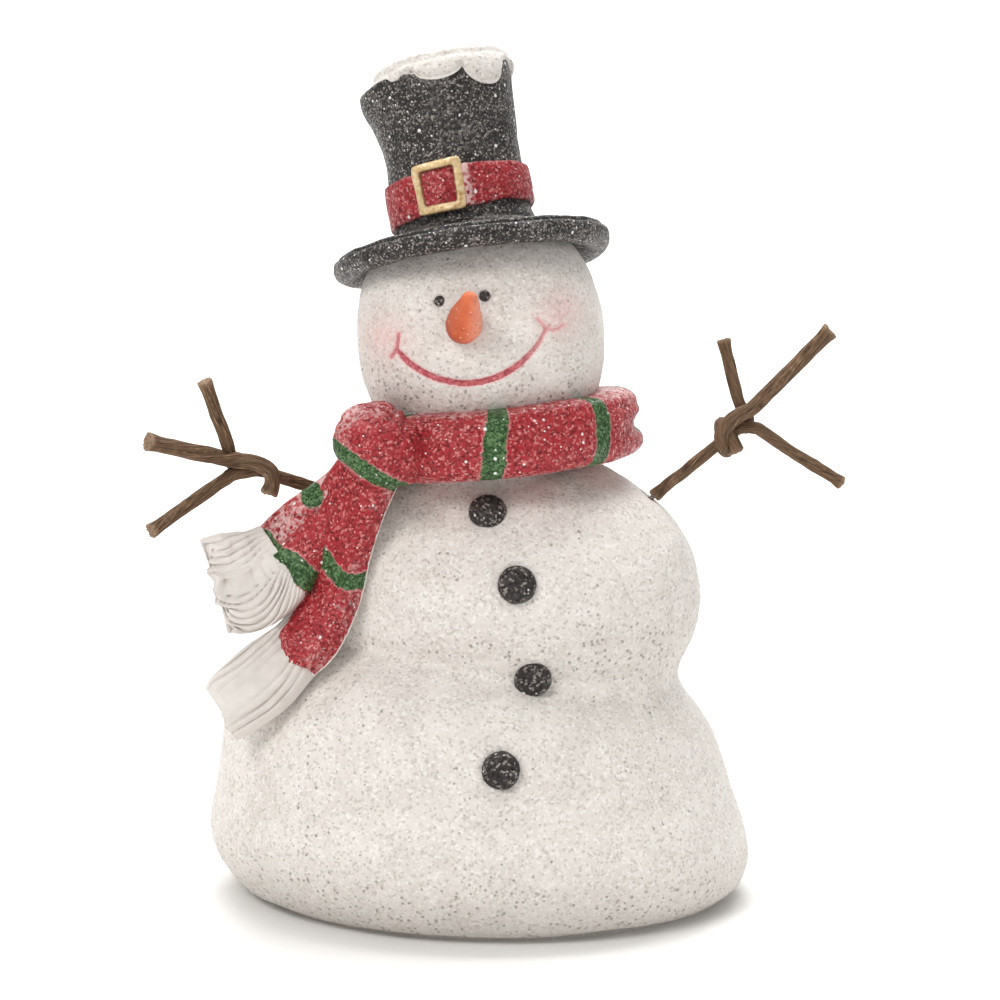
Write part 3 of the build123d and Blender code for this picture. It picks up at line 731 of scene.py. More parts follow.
def make_hat():
    angle = np.linspace(0, 2 * math.pi, 360, endpoint=False)[None, :]
    c, s = -np.cos(angle), np.sin(angle)
    under = np.array([(r, z) for r, z in ((2, -4.2), (10, -4.8), (18, -5.8), (24, -7.0))])
    rim_at = (27.9, -5.9)
    bend = np.linspace(-110, 118, 58)
    seam = np.exp(-((bend - 46) / 9) ** 2)
    inset = 1 - 0.24 * seam
    roll = [(rim_at[0] + 2.95 * k * math.cos(a), rim_at[1] + 2.75 * k * math.sin(a))
            for a, k in zip(np.radians(bend), inset)]
    shelf = [(25.3, -3.55), (24.3, -2.9), (22, -2.2), (19, -1.4), (16.6, -0.6), (15.6, 0.2)]
    brim = np.vstack([under, roll, shelf])
    fine = np.concatenate([[0], np.cumsum(np.hypot(*np.diff(brim, axis=0).T))])
    at = np.linspace(0, fine[-1], 130)
    br, bz = (np.interp(at, fine, brim[:, k])[:, None] for k in (0, 1))
    seam = np.interp(at, fine, np.concatenate([np.zeros(len(under)), seam, np.zeros(len(shelf))]))
    outer = ease(15, 29, br)
    right = np.clip(s, 0, 1) ** 3
    left = np.clip(-s, 0, 1) ** 2
    wave = outer * (1.1 * right + 0.35 * np.sin(2 * angle + 0.6) - 0.3 * left)
    fat = outer * 0.55 * right * ease(-9, -5, bz)
    rr, zz = br * np.ones_like(angle) + 0.25 * outer * np.sin(3 * angle + 1), bz + wave + fat
    local = np.stack([rr * s, rr * c, zz], -1)
    # the groove on the brim's top, which is also painted dark as shade
    shaded_groove = np.exp(-((br - 23.2) / 1.0) ** 2) * (bz > -3.6)
    local[..., 2] -= 1.25 * shaded_groove
    local += 0.22 * lumps(local, 5, 71, 2)[..., None] * np.stack([s, c, 0.6 * np.ones_like(s)], -1)
    low = HAT + local @ LIE.T
    rounding = [CROWN_H - 0.8, CROWN_H - 0.4, CROWN_H - 0.1, CROWN_H]
    height = np.concatenate([np.linspace(0.2, rounding[0], 106), rounding[1:]])[:, None]
    cr = crown_radius(height, angle)
    slope = cr * s * math.tan(math.radians(CROWN_SLOPE))
    tall = height + slope * ease(20, CROWN_H - 1, height)
    cr = cr - np.interp(height, rounding, [0, 0.35, 1.2, 3.0])
    wall = np.stack([cr * s, cr * c, tall], -1)
    wall += (0.20 * lumps(wall, 5, 75, 2) * ease(0, 3, height))[..., None] * np.stack(
        [s, c, np.zeros_like(s)], -1)
    foot = ease(0, 3, height)[..., None]
    on_brim, on_stand = HAT + wall @ LIE.T, STAND_AT + wall @ STAND.T
    high = on_brim * (1 - foot) + on_stand * foot
    inner = np.stack([0.5 * cr[-1] * s[0], 0.5 * cr[-1] * c[0], CROWN_H + 0.5 * slope[-1]], -1)
    lid = (STAND_AT + inner @ STAND.T)[None]
    # mask of painted shade along the brim's groove and the roll's seam
    line = np.concatenate([np.maximum(shaded_groove, seam[:, None]) + 0 * c,
                           np.zeros_like(high[..., 0]), np.zeros_like(lid[..., 0])])
    hat = grid("top_hat", np.concatenate([low, high, lid]), {"line": line})
    finish_piece(hat, "figure", ["hat"], hat_black)


def make_band():
    angle = np.linspace(0, 2 * math.pi, 520, endpoint=False)[:, None]
    around = np.linspace(0, 2 * math.pi, 64, endpoint=False)[None, :]
    flat, tall = power(np.cos(around), 0.5), power(np.sin(around), 0.42)
    from_buckle = (np.degrees(angle) + 6 + 180) % 360 - 180
    z = 7.0 + 4.75 * tall + 0.35 * np.sin(angle + 0.4) * (tall < 0)
    z = z + 0.7 * ease(25, 60, from_buckle) * ease(150, 110, from_buckle) * (tall < 0) * np.abs(tall)
    window = np.exp(-((from_buckle / 12) ** 4)) * np.exp(-((z - 6.2) / 3.2) ** 4)
    ridge = np.exp(-((from_buckle - 23) / 4.0) ** 2)
    out = 15.55 + 0.75 * flat + (0.55 * window + 0.8 * ridge) * (flat > 0.2)
    local = np.stack([out * np.sin(angle), -out * np.cos(angle), z + 0 * out], -1)
    local += (0.16 * lumps(local, 3.5, 81, 2))[..., None] * np.stack(
        [np.sin(angle) + 0 * z, -np.cos(angle) + 0 * z, 0.8 + 0 * z], -1)
    # the pale strip on the ridge beside the buckle is a painted highlight; the rest is frost
    frost = 1.3 * ridge + 0.35 * ease(0.72, 1.0, np.abs(tall)) + 0.25 * noise(local, 6, 83)
    bare = np.full(local.shape[:2], -5.0)
    p = STAND_AT + local @ STAND.T
    band = grid("hat_ribbon", p, {"frost": frost + 0 * z, "bare": bare}, ring=True)
    finish_piece(band, "figure", ["hat_band"], band_red)


def make_buckle():
    run = np.linspace(0, 2 * math.pi, 320, endpoint=False)[:, None]
    around = np.linspace(0, 2 * math.pi, 40, endpoint=False)[None, :]
    cx, cz = power(np.cos(run), 0.15), power(np.sin(run), 0.15)
    flat, deep = power(np.cos(around), 0.5), power(np.sin(around), 0.5)
    across = (4.55 + 0.92 * flat) * cx * (1 + 0.03 * cz)
    up = (4.75 + 0.92 * flat) * cz * (1 + 0.02 * cx)
    out = 16.55 + 0.62 * deep + 0.25 * noise(np.stack([across, up, 0 * up], -1), 3.0, 91)
    # the frame's inward side, where its painted shade goes
    inner = ease(-0.25, -0.95, flat) * np.ones_like(across)
    angle = across / 16.4 + math.radians(-4.2)
    local = np.stack([out * np.sin(angle), -out * np.cos(angle), up + 7.7], -1)
    local += 0.10 * lumps(local, 2.0, 93, 2)[..., None]
    p = STAND_AT + local @ STAND.T
    buckle = grid("hat_gold_buckle", p, {"inner": inner}, ring=True)
    finish_piece(buckle, "figure", ["hat_buckle"], gold)


SNOW_DRIPS = ((-36, 3.0, 4.8), (11, 3.9, 5.4), (49, 6.6, 5.6), (125, 3.0, 5.0), (160, 5.0, 6.2),
              (-160, 3.0, 6.0), (-120, 3.6, 6.0))


def make_snow_cap():
    angle = np.linspace(0, 2 * math.pi, 420, endpoint=False)[None, :]
    gap = np.exp(-((np.degrees(angle) - 88) / 14) ** 2)
    drop = 1.4 - 1.6 * gap
    for at, fall, half in SNOW_DRIPS:
        away = ((np.degrees(angle) - at + 180) % 360 - 180) * math.radians(1) * 16.3
        lobe = np.sqrt(np.clip(1 - (away / half) ** 2, 0, 1)) * (fall - 1.0) + 1.0
        drop = np.maximum(drop, np.where(np.abs(away) < half, lobe, -0.8))
    left = np.clip(-np.sin(angle), 0, 1) ** 2
    edge = 16.5 - 0.5 * gap - 2.1 * left
    t = np.linspace(0, 1, 60)[:, None]
    dome_r = edge * np.sin(t * math.pi / 2) ** 0.95
    dome_z = 0.4 + 3.0 * np.clip(np.cos(t * math.pi / 2), 0, 1) ** 0.38 + 0 * angle
    down = np.linspace(0, 1, 46)[1:, None]
    fall = drop + 0.9
    lip = edge + 0.95 * np.sin(np.clip(down * 1.15, 0, 1) * math.pi) ** 0.6 * ease(0, 2.5, fall) * 0.9
    lip_z = 0.4 - fall * down + 0 * lip
    back = np.linspace(0, 1, 14)[1:, None]
    back_r = (edge - 0.2) * (1 - back * 0.95)
    back_z = (0.4 - fall) * (1 - back) - 0.6 * back
    rr = np.concatenate([dome_r, lip, back_r + 0 * angle])
    zz = np.concatenate([dome_z, lip_z, back_z + 0 * angle])
    local = np.stack([rr * np.sin(angle), -rr * np.cos(angle), zz], -1)
    local[..., 2] += 0.35 * lumps(local, 7, 101, 2) * ease(-1.0, 1.0, zz)
    local += 0.10 * noise(local, 1.8, 105)[..., None]
    local[..., 2] = np.minimum(local[..., 2], 3.7)
    cap = grid("hat_snow_cap", TOP_AT + local @ TOP.T,
               {"hole_shade": np.full(local.shape[:2], -9.0)})
    finish_piece(cap, "figure", ["hat_snow"], snow)


# ---------------------------------------------------------------- scarf
SCARF = np.array([2.9, 0.0, 104.3])
SCARF_WAY = tilted(-5, -1, 0)


def make_wrap():
    angle = np.linspace(0, 2 * math.pi, 760, endpoint=False)[:, None]
    around = np.linspace(0, 2 * math.pi, 120, endpoint=False)[None, :]
    face, tall = power(np.cos(around), 0.62), power(np.sin(around), 0.62)
    degrees = (np.degrees(angle) + 180) % 360 - 180
    outside = ease(-0.2, 0.6, face)
    right = np.exp(-((degrees - 88) / 24) ** 2)
    back = ease(110, 140, np.abs(degrees))
    r = 26.2 + 8.0 * face
    z = 7.5 * tall + 0 * angle
    path = np.stack([np.sin(angle) + 0 * z, -np.cos(angle) + 0 * z, 0 * z], -1)
    flow = path * 34 + np.stack([0 * z, 0 * z, z * 1.4], -1)
    crease = lumps(flow * np.array([1, 1, 1.6]), 13, 111, 2)
    r = r + outside * (0.75 * crease - 0.35)
    r -= outside * right * (2.1 * np.exp(-((z + 0.6) / 2.0) ** 2) - 0.7)
    r -= outside * back * 1.3 * np.exp(-((z - 1.8 + 2.2 * np.sin(angle * 2)) / 1.6) ** 2)
    fold = np.exp(-(z - 3.8 - 1.2 * np.sin(angle * 1.5 + 1)) ** 2)
    r -= outside * 0.5 * fold * ease(4, 20, np.abs(degrees))
    z = z + 0.55 * noise(flow, 15, 117) + right * 0.4 * np.sign(z)
    local = np.stack([r * np.sin(angle), -r * np.cos(angle), z], -1)
    local += 0.08 * noise(local, 1.4, 119)[..., None]
    turned = degrees - 2.5 - 0.35 * z * np.cos(np.radians(degrees)) + 1.2 * noise(flow, 9, 121)
    arc = ((turned + 22.5) % 45 - 22.5) * math.radians(1) * 34.2
    stripe = 2.45 - np.abs(arc)
    frost = 0.55 * ease(0.70, 1.0, np.abs(tall)) + 0.45 * right + 0.20 * noise(flow, 8, 123)
    bare = np.full(local.shape[:2], -5.0)
    wrap = grid("scarf_round", SCARF + local @ SCARF_WAY.T,
                {"stripe": stripe, "frost": frost, "bare": bare}, ring=True)
    finish_piece(wrap, "figure", ["scarf_wrap"], scarf_red)


FOLD_STRIPE = curve([(-37.0, 2.0), (-31.4, -0.6), (-26.5, -3.8), (-20.4, -7.4), (-15.0, -11.0)], 24)
TAIL_STRIPE = curve([(-41.5, -17.0), (-37.6, -21.6), (-33.6, -26.6), (-30.4, -28.8), (-25.6, -28.6),
                     (-20.0, -28.0)], 24)


def make_fold():
    u = np.linspace(0, 2 * math.pi, 340, endpoint=False)[None, :]
    v = np.linspace(-math.radians(88), math.radians(88), 210)[:, None]
    way = np.stack([np.cos(v) * np.sin(u), -np.cos(v) * np.cos(u), np.sin(v) * np.ones_like(u)], -1)
    size = np.sum(np.abs(way) ** 2.5, axis=-1) ** (-1 / 2.5)
    turn = tilted(28, 0, -35)
    local = (way * size[..., None] * np.array([10.9, 9.4, 8.5])) @ turn.T
    out = way @ turn.T
    x, z = local[..., 0], local[..., 2]
    bumps = 0.75 * lumps(local, 6.5, 131, 2) - 0.5
    valley, _ = off_line(x, z, curve([(6.5, 9.0), (5.2, 3.5), (2.0, -0.5), (-4.0, -3.0)], 16))
    bumps -= 0.8 * np.exp(-(valley / 1.1) ** 2)
    tuck, _ = off_line(x, z, curve([(-9, 5.5), (-4, 7.0), (1, 6.0), (4, 8.5)], 14))
    bumps -= 0.7 * np.exp(-(tuck / 0.9) ** 2)
    local = local + out * bumps[..., None] + 0.07 * noise(local, 1.4, 133)[..., None]
    centre = np.array([-22.9, -26.5, 0.4])
    at = local + centre
    stripe = 1.75 - off_line(at[..., 0], at[..., 2], FOLD_STRIPE)[0]
    frost = 0.55 * ease(5.0, 9.0, z) + 0.6 * ease(-4.5, -9.0, x) + 0.2 * noise(local, 5, 135)
    fold = grid("scarf_knot", SCARF + at, {"stripe": stripe, "frost": frost,
                                          "bare": np.full(x.shape, -5.0)})
    finish_piece(fold, "figure", ["scarf_fold"], scarf_red)


def strip(stations, thick, rows, columns, end, square=0.5):
    """A strip through stations of middle, face angle and width. Gives its points, how far along
    and across each is, its outward side, and the way out of its face."""
    data = np.array([[*m, a, w] for m, a, w in stations], float)
    line = curve(data, rows)
    s = np.linspace(0, 1, rows)[:, None]
    middle, face, width = line[:, None, :3], np.radians(line[:, None, 3]), line[:, None, 4]
    along = np.gradient(line[:, :3], axis=0)
    along = (along / np.linalg.norm(along, axis=1, keepdims=True))[:, None, :]
    out = np.stack([np.sin(face), -np.cos(face), np.zeros_like(face)], -1)
    across = np.cross(along, out)
    across /= np.linalg.norm(across, axis=-1, keepdims=True)
    out = np.cross(across, along)
    around = np.linspace(0, 2 * math.pi, columns, endpoint=False)[None, :]
    t, side = power(np.cos(around), square), power(np.sin(around), square)
    p = middle + across * (t * width / 2)[..., None] + out * (side * thick / 2 + 0 * s)[..., None]
    p = p + along * (end(t) * s)[..., None]
    return p, s + 0 * t, t + 0 * s, side + 0 * s, out


FRONT_TAIL = (((-24.6, -25.5, -3.5), -38, 14.0), ((-28.4, -23.9, -10.5), -44, 16.6),
              ((-32.4, -21.7, -20.5), -48, 18.8), ((-34.6, -22.0, -31.0), -46, 17.6),
              ((-37.6, -24.0, -39.5), -42, 15.4), ((-40.6, -26.0, -44.4), -40, 12.6))
FRONT_FRINGE = (((-37.6, -23.0, -40.0), -38, 12.6), ((-42.6, -25.6, -45.0), -36, 14.2),
                ((-48.4, -27.6, -50.2), -34, 16.0), ((-54.4, -28.9, -55.0), -33, 15.0),
                ((-57.2, -29.2, -57.2), -32, 13.6))
BACK_TAIL = (((-30.0, -19.5, -9.5), -44, 11.0), ((-34.6, -19.0, -14.6), -40, 14.0),
             ((-40.4, -19.2, -20.6), -36, 17.2), ((-45.6, -20.6, -26.2), -34, 19.0))
BACK_FRINGE = (((-44.9, -20.6, -25.6), -34, 18.6), ((-49.2, -21.8, -28.2), -31, 21.2),
               ((-54.2, -22.8, -30.0), -27, 22.6), ((-59.6, -23.4, -30.6), -22, 21.0))


def make_tails():
    def ragged(t):
        corners = 2.0 * ease(0.2, 0.9, t) + 2.9 * ease(0.5, -0.5, t)
        return 0.5 * np.sin(5.5 * t + 0.8) + 2.0 * (1 - t * t) + corners

    p, s, t, side, out = strip(FRONT_TAIL, 6.3, 300, 230, ragged)
    front = ease(0.0, 0.6, side)
    shape = 0.55 * lumps(p, 8, 143, 2) + 0.9 * (1 - t * t) * front
    shape -= 0.9 * np.exp(-((t - 0.55 - 0.2 * s) / 0.16) ** 2) * front * ease(0.1, 0.3, s)
    shape -= 0.6 * np.exp(-((s - 0.62 - 0.10 * t) / 0.02) ** 2) * front
    end_roll = ease(0.93, 1.0, s)
    shape += 1.3 * ease(0.70, 0.95, s) * front
    p = p + out * (shape * (0.35 + 0.65 * front) - end_roll * side * 1.4)[..., None]
    p = p + 0.08 * noise(p, 1.4, 145)[..., None]
    stripe = 1.75 - np.minimum(off_line(p[..., 0], p[..., 2], TAIL_STRIPE)[0],
                               off_line(p[..., 0], p[..., 2], FOLD_STRIPE)[0] + 0.1)
    frost = 0.35 * ease(0.6, 1.0, np.abs(t)) + 0.22 * noise(p, 7, 147) + 0.25 * ease(0.9, 1, s)
    bare = 1.1 * ease(0.0, -0.8, side) * (t < 0) * 2 - 1.2
    tail = grid("scarf_end_front", SCARF + p, {"stripe": stripe, "frost": frost, "bare": bare})
    finish_piece(tail, "figure", ["scarf_front_tail"], scarf_red)

    def wavy(t):
        return 0.9 * np.sin(t * 6 + 0.5) + 0.3

    p, s, t, side, out = strip(BACK_TAIL, 6.3, 260, 220, wavy)
    front = ease(0.0, 0.6, side)
    shape = 0.6 * lumps(p, 7, 151, 2) + 0.8 * (1 - t * t) * front
    shape -= 1.1 * np.exp(-((t + 0.15 - 0.5 * s) / 0.14) ** 2) * front
    p = p + out * (shape * (0.35 + 0.65 * front) - ease(0.94, 1.0, s) * side * 1.0)[..., None]
    p = p + 0.08 * noise(p, 1.4, 155)[..., None]
    border = 1.3 + 1.0 * ease(0.4, -0.8, t) - np.abs((1 - s) * 24 - 1.9 - 0.6 * np.sin(t * 5))
    patch = 2.7 - np.hypot(p[..., 0] + 38.4, p[..., 2] + 11.2)
    stripe = np.maximum(border, patch)
    frost = 0.25 + 0.75 * ease(-0.35, 0.5, t) + 0.45 * noise(p, 5, 157)
    tail = grid("scarf_end_back", SCARF + p, {"stripe": stripe, "frost": frost,
                                              "bare": np.full(s.shape, -5.0)})
    finish_piece(tail, "figure", ["scarf_back_tail"], scarf_red)


def strands(t, s, count, seed, wander):
    """Ridges of fringe across a strip, from 0 to 1 high."""
    place = (t + 1) / 2 * count + wander * noise(np.stack([t * 3, s * 2.2, 0 * t], -1), 1.0, seed)
    inside = place - np.floor(place)
    ridge = np.sin(np.pi * inside) ** 0.75
    faint = 0.75 + 0.5 * noise(np.stack([t * 2.6, s * 2.0, 0 * t + 7], -1), 1.0, seed + 3)
    ridge = 1 - (1 - ridge) * np.clip(faint, 0.25, 1)
    return ridge


def fringe_relief(shape, s, side):
    """The relief on the front, half of it on the back, with the cut end rounded."""
    share = np.where(side > 0, ease(0.0, 0.6, side), -0.5 * ease(0, -0.6, side))
    return shape * share - ease(0.93, 1.0, s) * side * 1.1


def fade(s, t):
    """1 inside a fringe, falling to 0 at its cut end and its sides."""
    return ease(1.0, 0.90, s) * ease(1.0, 0.9, np.abs(t))


def make_fringes():
    def outline_back(t):
        return (2.2 * noise(np.stack([t * 9, 0 * t + 2, 0 * t], -1), 1.2, 161) - 2.5 * ease(0.1, -1.0, t)
                + 1.5 * ease(0.25, 0.55, t) - 2.6 * np.exp(-((t - 0.72) / 0.12) ** 2))

    p, s, t, side, out = strip(BACK_FRINGE, 5.9, 300, 330, outline_back, square=0.45)
    front = ease(0.0, 0.6, side)
    bend = t + 0.22 * np.sin(s * 2.4) * (1 - t)
    ridge = strands(bend, s, 17, 163, 0.45)
    deep = 0.35 + 0.65 * ease(0.0, 0.25, s)
    shape = 1.15 * (ridge - 0.75) * deep + 0.9 * lumps(p, 6.5, 165, 2)
    shape += 1.3 * ease(0.55, 0.95, s) * ease(-0.1, 0.8, t) * noise(p, 3.4, 167) + 1.0 * (1 - t * t)
    p = p + out * fringe_relief(shape, s, side)[..., None]
    p = p + 0.10 * noise(p, 1.2, 169)[..., None]
    # mask of painted shade in the grooves between the strands
    shaded_groove = (1 - ridge) * deep * fade(s, t)
    rosy = ease(0.75, 1.0, s) * ease(0.0, 0.8, t) * ease(-0.2, 0.6, noise(p, 3, 171)) * front
    piece = grid("fringe_back_end", SCARF + p, {"shaded_groove": shaded_groove, "rosy": rosy})
    finish_piece(piece, "figure", ["back_fringe"], fringe_white)

    def outline_front(t):
        rough = 1.2 * noise(np.stack([t * 6, 0 * t + 5, 0 * t], -1), 1.2, 181)
        return rough + 1.4 * ease(-0.2, -0.9, t) - 1.0 * ease(0.3, 1.0, t)

    p, s, t, side, out = strip(FRONT_FRINGE, 5.9, 280, 260, outline_front, square=0.45)
    front = ease(0.0, 0.6, side)
    ridge = strands(t + 0.10 * np.sin(s * 3), s, 8, 183, 0.4)
    fine = strands(t, s, 23, 185, 0.6)
    shape = 0.85 * (ridge - 0.75) + 0.12 * (fine - 0.75) + 0.8 * lumps(p, 8, 187, 2) + 1.0 * (1 - t * t)
    p = p + out * fringe_relief(shape, s, side)[..., None]
    p = p + 0.08 * noise(p, 1.3, 189)[..., None]
    # mask of painted shade in the grooves between the strands
    shaded_groove = np.maximum(0.85 * (1 - ridge), 0.45 * (1 - fine)) * fade(s, t)
    piece = grid("fringe_front_end", SCARF + p, {"shaded_groove": shaded_groove, "rosy": np.zeros_like(shaded_groove)})
    finish_piece(piece, "figure", ["front_fringe"], fringe_white)


# ---------------------------------------------------------------- arms
# Each arm: its twigs' radius, its stem's way and length to the knot, how far from the joint its
# paper starts, and its fingers' tips from the knot
ARMS = {
    "left": {"r": 1.5, "way": (-26.3, -15, 11.6), "stem": 17.4, "bare": 2.0,
             "tips": {"upper": (-13.1, -8.5, 21.7), "middle": (-24.8, -16.5, 9.1),
                      "lower": (-24.6, -16.5, -10.7)}},
    "right": {"r": 1.4, "way": (18, -2, 15.1), "stem": 21.7, "bare": -0.4,
              "tips": {"upper": (-1.4, 3.8, 21.5), "middle": (22.2, -2.2, 24.0),
                       "lower": (26.1, 2.8, -11.5)}},
}


TWIST = 0.09        # radians for each millimetre of twig
ROW_STEP = 0.22
TIE_SCALE = 1.22    # the twig that ties the knot is thicker than the others


def twig(name, points, radius, seed):
    """A stick of twisted paper along a line, with split ends."""
    rough = curve(points, 60)
    length = np.sum(np.linalg.norm(np.diff(rough, axis=0), axis=1))
    rows = int(length / ROW_STEP)
    line = curve(points, rows)
    line = line + 0.16 * np.stack([noise(line, 5, seed + k) for k in range(3)], 1)
    way = np.gradient(line, axis=0)
    way /= np.linalg.norm(way, axis=1, keepdims=True)
    side = np.cross(way[0], (0.3, 0.2, 0.93))
    side /= np.linalg.norm(side)
    sides = []
    for w in way:
        side = side - w * np.dot(side, w)
        side /= np.linalg.norm(side)
        sides.append(side)
    sides = np.array(sides)
    other = np.cross(way, sides)
    run = np.linspace(0, length, rows)[:, None]
    around = np.linspace(0, 2 * math.pi, 72, endpoint=False)[None, :]
    spin = around + TWIST * run + 0.25 * np.sin(run / 6 + seed)
    fibre = np.stack([np.cos(spin) * 2.2, np.sin(spin) * 2.2, run * 0.10 + 0 * spin], -1)
    ply = np.abs(np.sin(spin * 1.5 + 0.4 * np.sin(run / 4 + seed)))
    fine = noise(fibre * 3.0, 1.0, seed + 11)
    near_end = np.minimum(run, length - run)
    flare = 0.13 * ease(3.2, 0.2, near_end)
    uneven = noise(np.concatenate([run, 0 * run, 0 * run], 1)[:, None, :], 4.0, seed + 13)
    thick = radius * (0.95 + flare + 0.05 * uneven)
    relief = 0.13 * (ply - 0.7) + 0.08 * fine + 0.06 * noise(fibre, 0.8, seed + 17)
    r = thick * (1 + relief * (1 + 0.6 * ease(3, 0, near_end)))
    taper = np.where(near_end < 0.45, np.sqrt(np.clip(1 - (1 - near_end / 0.45) ** 2, 0.35, 1)), 1.0)
    r = r * taper
    p = line[:, None] + sides[:, None] * (r * np.cos(around))[..., None]
    p = p + other[:, None] * (r * np.sin(around))[..., None]
    fray = 0.5 * noise(fibre * 2.5, 1.0, seed + 23) * ease(0.9, 0.0, near_end)
    sign = np.where(run < length / 2, -1.0, 1.0)
    p = p + way[:, None] * (fray * sign - 0.45 * ease(0.4, 0, near_end) * sign)[..., None]
    # cleft_shade: painted shade in the grooves between the plies
    masks = {"fibre": np.sin(spin) * 3.1 + np.cos(spin) * 2.3 + 0 * r, "run": run + 0 * r,
             "cleft_shade": ease(0.30, 0.0, ply) * 0.8 + 0 * r, "cut": ease(1.8, 0.0, near_end) + 0 * r}
    return grid(name, p, masks)


def make_arm(side):
    arm = ARMS[side]
    r = arm["r"]
    shoulder = JOINTS[f"{side}_arm_raise"]
    along = np.array(arm["way"], float)
    along /= np.linalg.norm(along)
    knot = shoulder + along * arm["stem"]
    front = np.array([0.0, -1, 0])
    front -= along * np.dot(front, along)
    front /= np.linalg.norm(front)
    up = np.cross(front, along)
    up = up if up[2] > 0 else -up

    def at(a, f, u):
        return knot + along * a + front * f + up * u

    roots = {k: JOINTS[f"{side}_{k}_bend"] for k in arm["tips"]}
    ways, tips = {}, {}
    for k, tip in arm["tips"].items():
        end = knot + np.array(tip)
        way = end - roots[k]
        ways[k] = way / np.linalg.norm(way)
        tips[k] = end - ways[k] * 0.25
    body, dip = f"{side}_arm", r * 0.16
    lower = [shoulder + along * arm["bare"], shoulder + along * (arm["stem"] * 0.5), at(-2.5, -0.3, 0),
             at(2.6, -0.3, -dip), roots["lower"] - ways["lower"] * 0.6, roots["lower"] + ways["lower"] * 1.6,
             roots["lower"] + ways["lower"] * 7, tips["lower"]]
    if side == "left":
        middle = [at(-0.2, 2.2 * r, -4.2), at(0.0, 2.3 * r, -1.6), at(1.5, 2.3 * r, 0.8),
                  at(4.8, 1.5 * r, 1.6), roots["middle"] + ways["middle"] * 0.2 + up * 0.4,
                  roots["middle"] + ways["middle"] * 6, tips["middle"]]
        upper = [at(3.2, -2.1 * r, -0.8), at(6.4, -2.0 * r, -1.6), at(9.0, -1.3 * r, -0.6),
                 at(11.3, -0.6 * r, 2.4), (at(11.3, -0.6 * r, 2.4) + tips["upper"]) / 2, tips["upper"]]
    else:
        middle = [at(-1.0, 2.0 * r, -3.8), at(-0.2, 2.1 * r, -1.2), at(0.6, 1.5 * r, 1.8),
                  at(0.2, -0.6 * r, 2.8), at(-1.2, -2.0 * r, 1.2), at(-2.3, -1.6 * r, -1.4),
                  at(-2.7, 0.6 * r, -2.2), at(-2.3, 2.4 * r, -0.6), at(-0.9, 3.1 * r, 1.8),
                  at(1.8, 2.8 * r, 2.9), at(4.8, 1.7 * r, 2.5), at(8.9, 0.9 * r, 1.6),
                  (at(8.9, 0.9 * r, 1.6) + tips["middle"]) / 2, tips["middle"]]
        upper = [at(2.2, -2.2 * r, -1.4), at(4.6, -2.0 * r, -0.8), at(5.8, -1.3 * r, 0.9),
                 roots["upper"] + ways["upper"] * 1.2, roots["upper"] + ways["upper"] * 7, tips["upper"]]
    plan = (("stem_and_lower", "lower", lower, r, ("stem_twig", "lower_twig", "lower_wire")),
            ("tie_and_middle", "middle", middle, r * TIE_SCALE, ("knot", "middle_twig", "middle_wire")),
            ("tucked_upper", "upper", upper, r, ("upper_twig", "upper_wire")))
    first_seed = 250 if side == "right" else 200
    for number, (name, finger, points, thick, parts) in enumerate(plan):
        piece = twig(f"{side}_{name}", points, thick, first_seed + 10 * number)
        nodes = [f"{side}_{part}" for part in parts]
        finish_piece(piece, None, nodes, twig_brown)
        root, way = roots[finger], ways[finger]
        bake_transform(piece)
    wire = [shoulder - along * 0.3, shoulder + along * 2, shoulder + along * 6]
    line = curve(wire, 40)
    around = np.linspace(0, 2 * math.pi, 24, endpoint=False)
    ridge = 0.55 * (1 + 0.05 * np.sin(3 * around[None, :] + np.linspace(0, 9, 40)[:, None]))
    p = line[:, None] + front * (ridge * np.cos(around))[..., None] + up * (ridge * np.sin(around))[..., None]
    piece = grid(f"{side}_wire_end", p)
    finish_piece(piece, body, [f"{side}_stem_wire"], wire_steel)


# ---------------------------------------------------------------- build
make_body()
make_buttons()
make_head()
make_face()
make_hat()
make_band()
make_buckle()
make_snow_cap()
make_wrap()
make_fold()
make_tails()
make_fringes()
make_arm("left")
make_arm("right")

for node, slot, shader in (("base_felt", "felt", felt_grey), ("base_plug", "plug", plug_grey),
                           ("left_arm_peg", "arm_wire", wire_steel),
                           ("right_arm_peg", "arm_wire", wire_steel)):
    part = frame["nodes"][node]
    part.data.materials.clear()
    part.data.materials.append(shader)


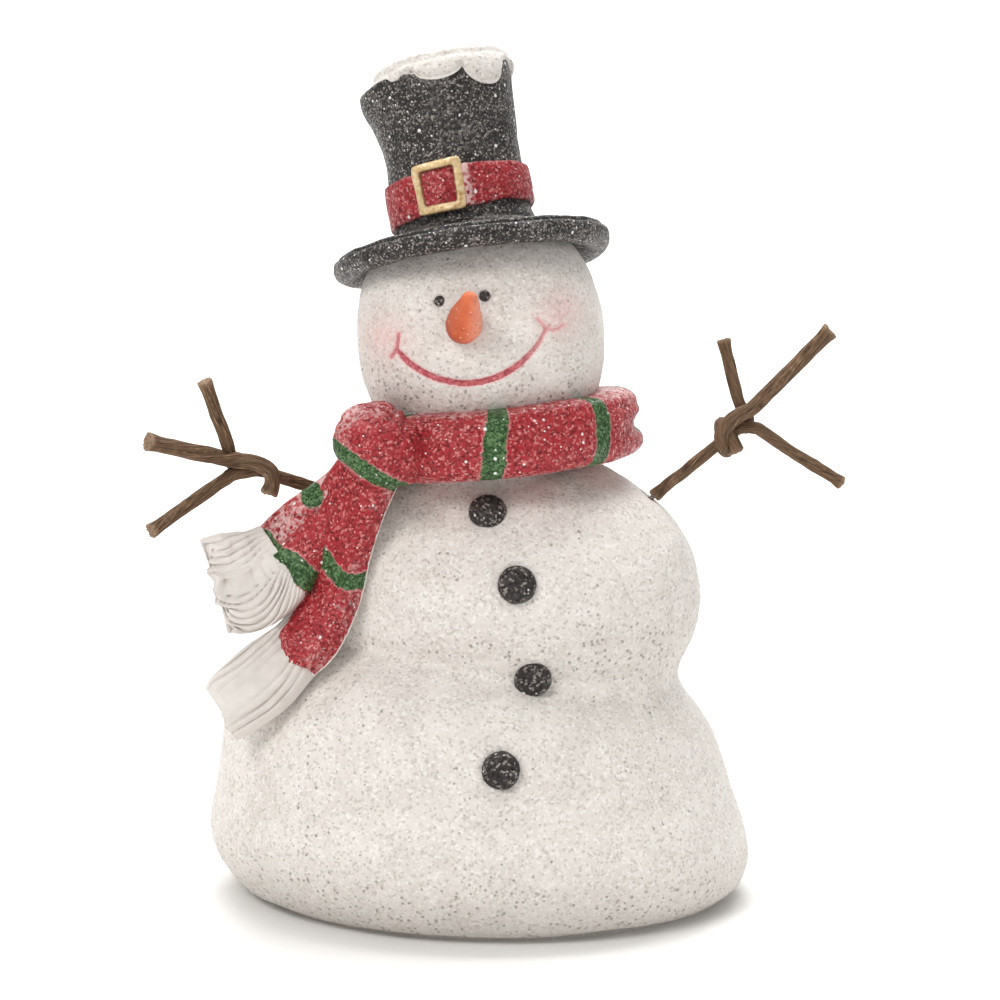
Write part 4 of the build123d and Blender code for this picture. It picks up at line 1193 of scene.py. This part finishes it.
# ---------------------------------------------------------------- studio
def make_stage():
    """A pale floor that curves up into a backdrop."""
    run = [(-1.6, 0.0), (0.5, 0.0)] + [(0.9 + 0.5 * math.sin(a), 0.5 - 0.5 * math.cos(a))
                                      for a in np.radians(np.linspace(0, 90, 24))] + [(1.4, 2.4)]
    verts = [(x, y, z) for y, z in run for x in (-2.4, 2.4)]
    faces = [(2 * i, 2 * i + 1, 2 * i + 3, 2 * i + 2) for i in range(len(run) - 1)]
    mesh = bpy.data.meshes.new("backdrop")
    mesh.from_pydata(verts, [], faces)
    mesh.polygons.foreach_set("use_smooth", np.ones(len(faces), bool))
    floor = bpy.data.objects.new("backdrop", mesh)
    bpy.context.scene.collection.objects.link(floor)
    p = Paint("backdrop_paper", Roughness=0.9)
    p.set("Base Color", p.ramp(p.noise(0.01, 2), (0.3, (0.90, 0.895, 0.885, 1)),
                               (0.7, (0.92, 0.915, 0.905, 1))))
    mesh.materials.append(p.material)


def light(name, place, target, size, power_watts, colour=(1, 1, 1)):
    data = bpy.data.lights.new(name, "AREA")
    data.size, data.energy, data.color = size, power_watts, colour
    lamp = bpy.data.objects.new(name, data)
    lamp.location = place
    lamp.rotation_euler = (Vector(target) - Vector(place)).to_track_quat("-Z", "Y").to_euler()
    bpy.context.scene.collection.objects.link(lamp)


make_stage()
light("key", (-0.50, -0.70, 0.80), (0, 0, 0.09), 0.40, 5.2, (1.0, 0.98, 0.955))
light("fill", (0.85, -0.7, 0.30), (0, 0, 0.09), 0.8, 1.6, (0.98, 0.99, 1.0))
light("top", (0.05, 0.20, 0.9), (0, 0, 0.05), 0.6, 2.6)
light("backdrop", (0.0, 0.55, 1.3), (0, 1.2, 0.2), 1.2, 21.0)
world = bpy.data.worlds.new("studio")
world.use_nodes = True
world.node_tree.nodes["Background"].inputs["Color"].default_value = (1, 0.995, 0.985, 1)
world.node_tree.nodes["Background"].inputs["Strength"].default_value = 0.42
bpy.context.scene.world = world
view = bpy.context.scene.view_settings
view.view_transform = "Standard"

camera = bpy.data.objects.new("camera", bpy.data.cameras.new("camera"))
camera.data.lens = 97.17
camera.data.sensor_width = 36
camera.data.clip_start = 0.01
camera.location = (0.005335, -0.6, 0.175)
camera.rotation_euler = (Vector((0.005335, 0, 0.08907)) - camera.location).to_track_quat("-Z", "Y").to_euler()
bpy.context.scene.collection.objects.link(camera)
bpy.context.scene.camera = camera
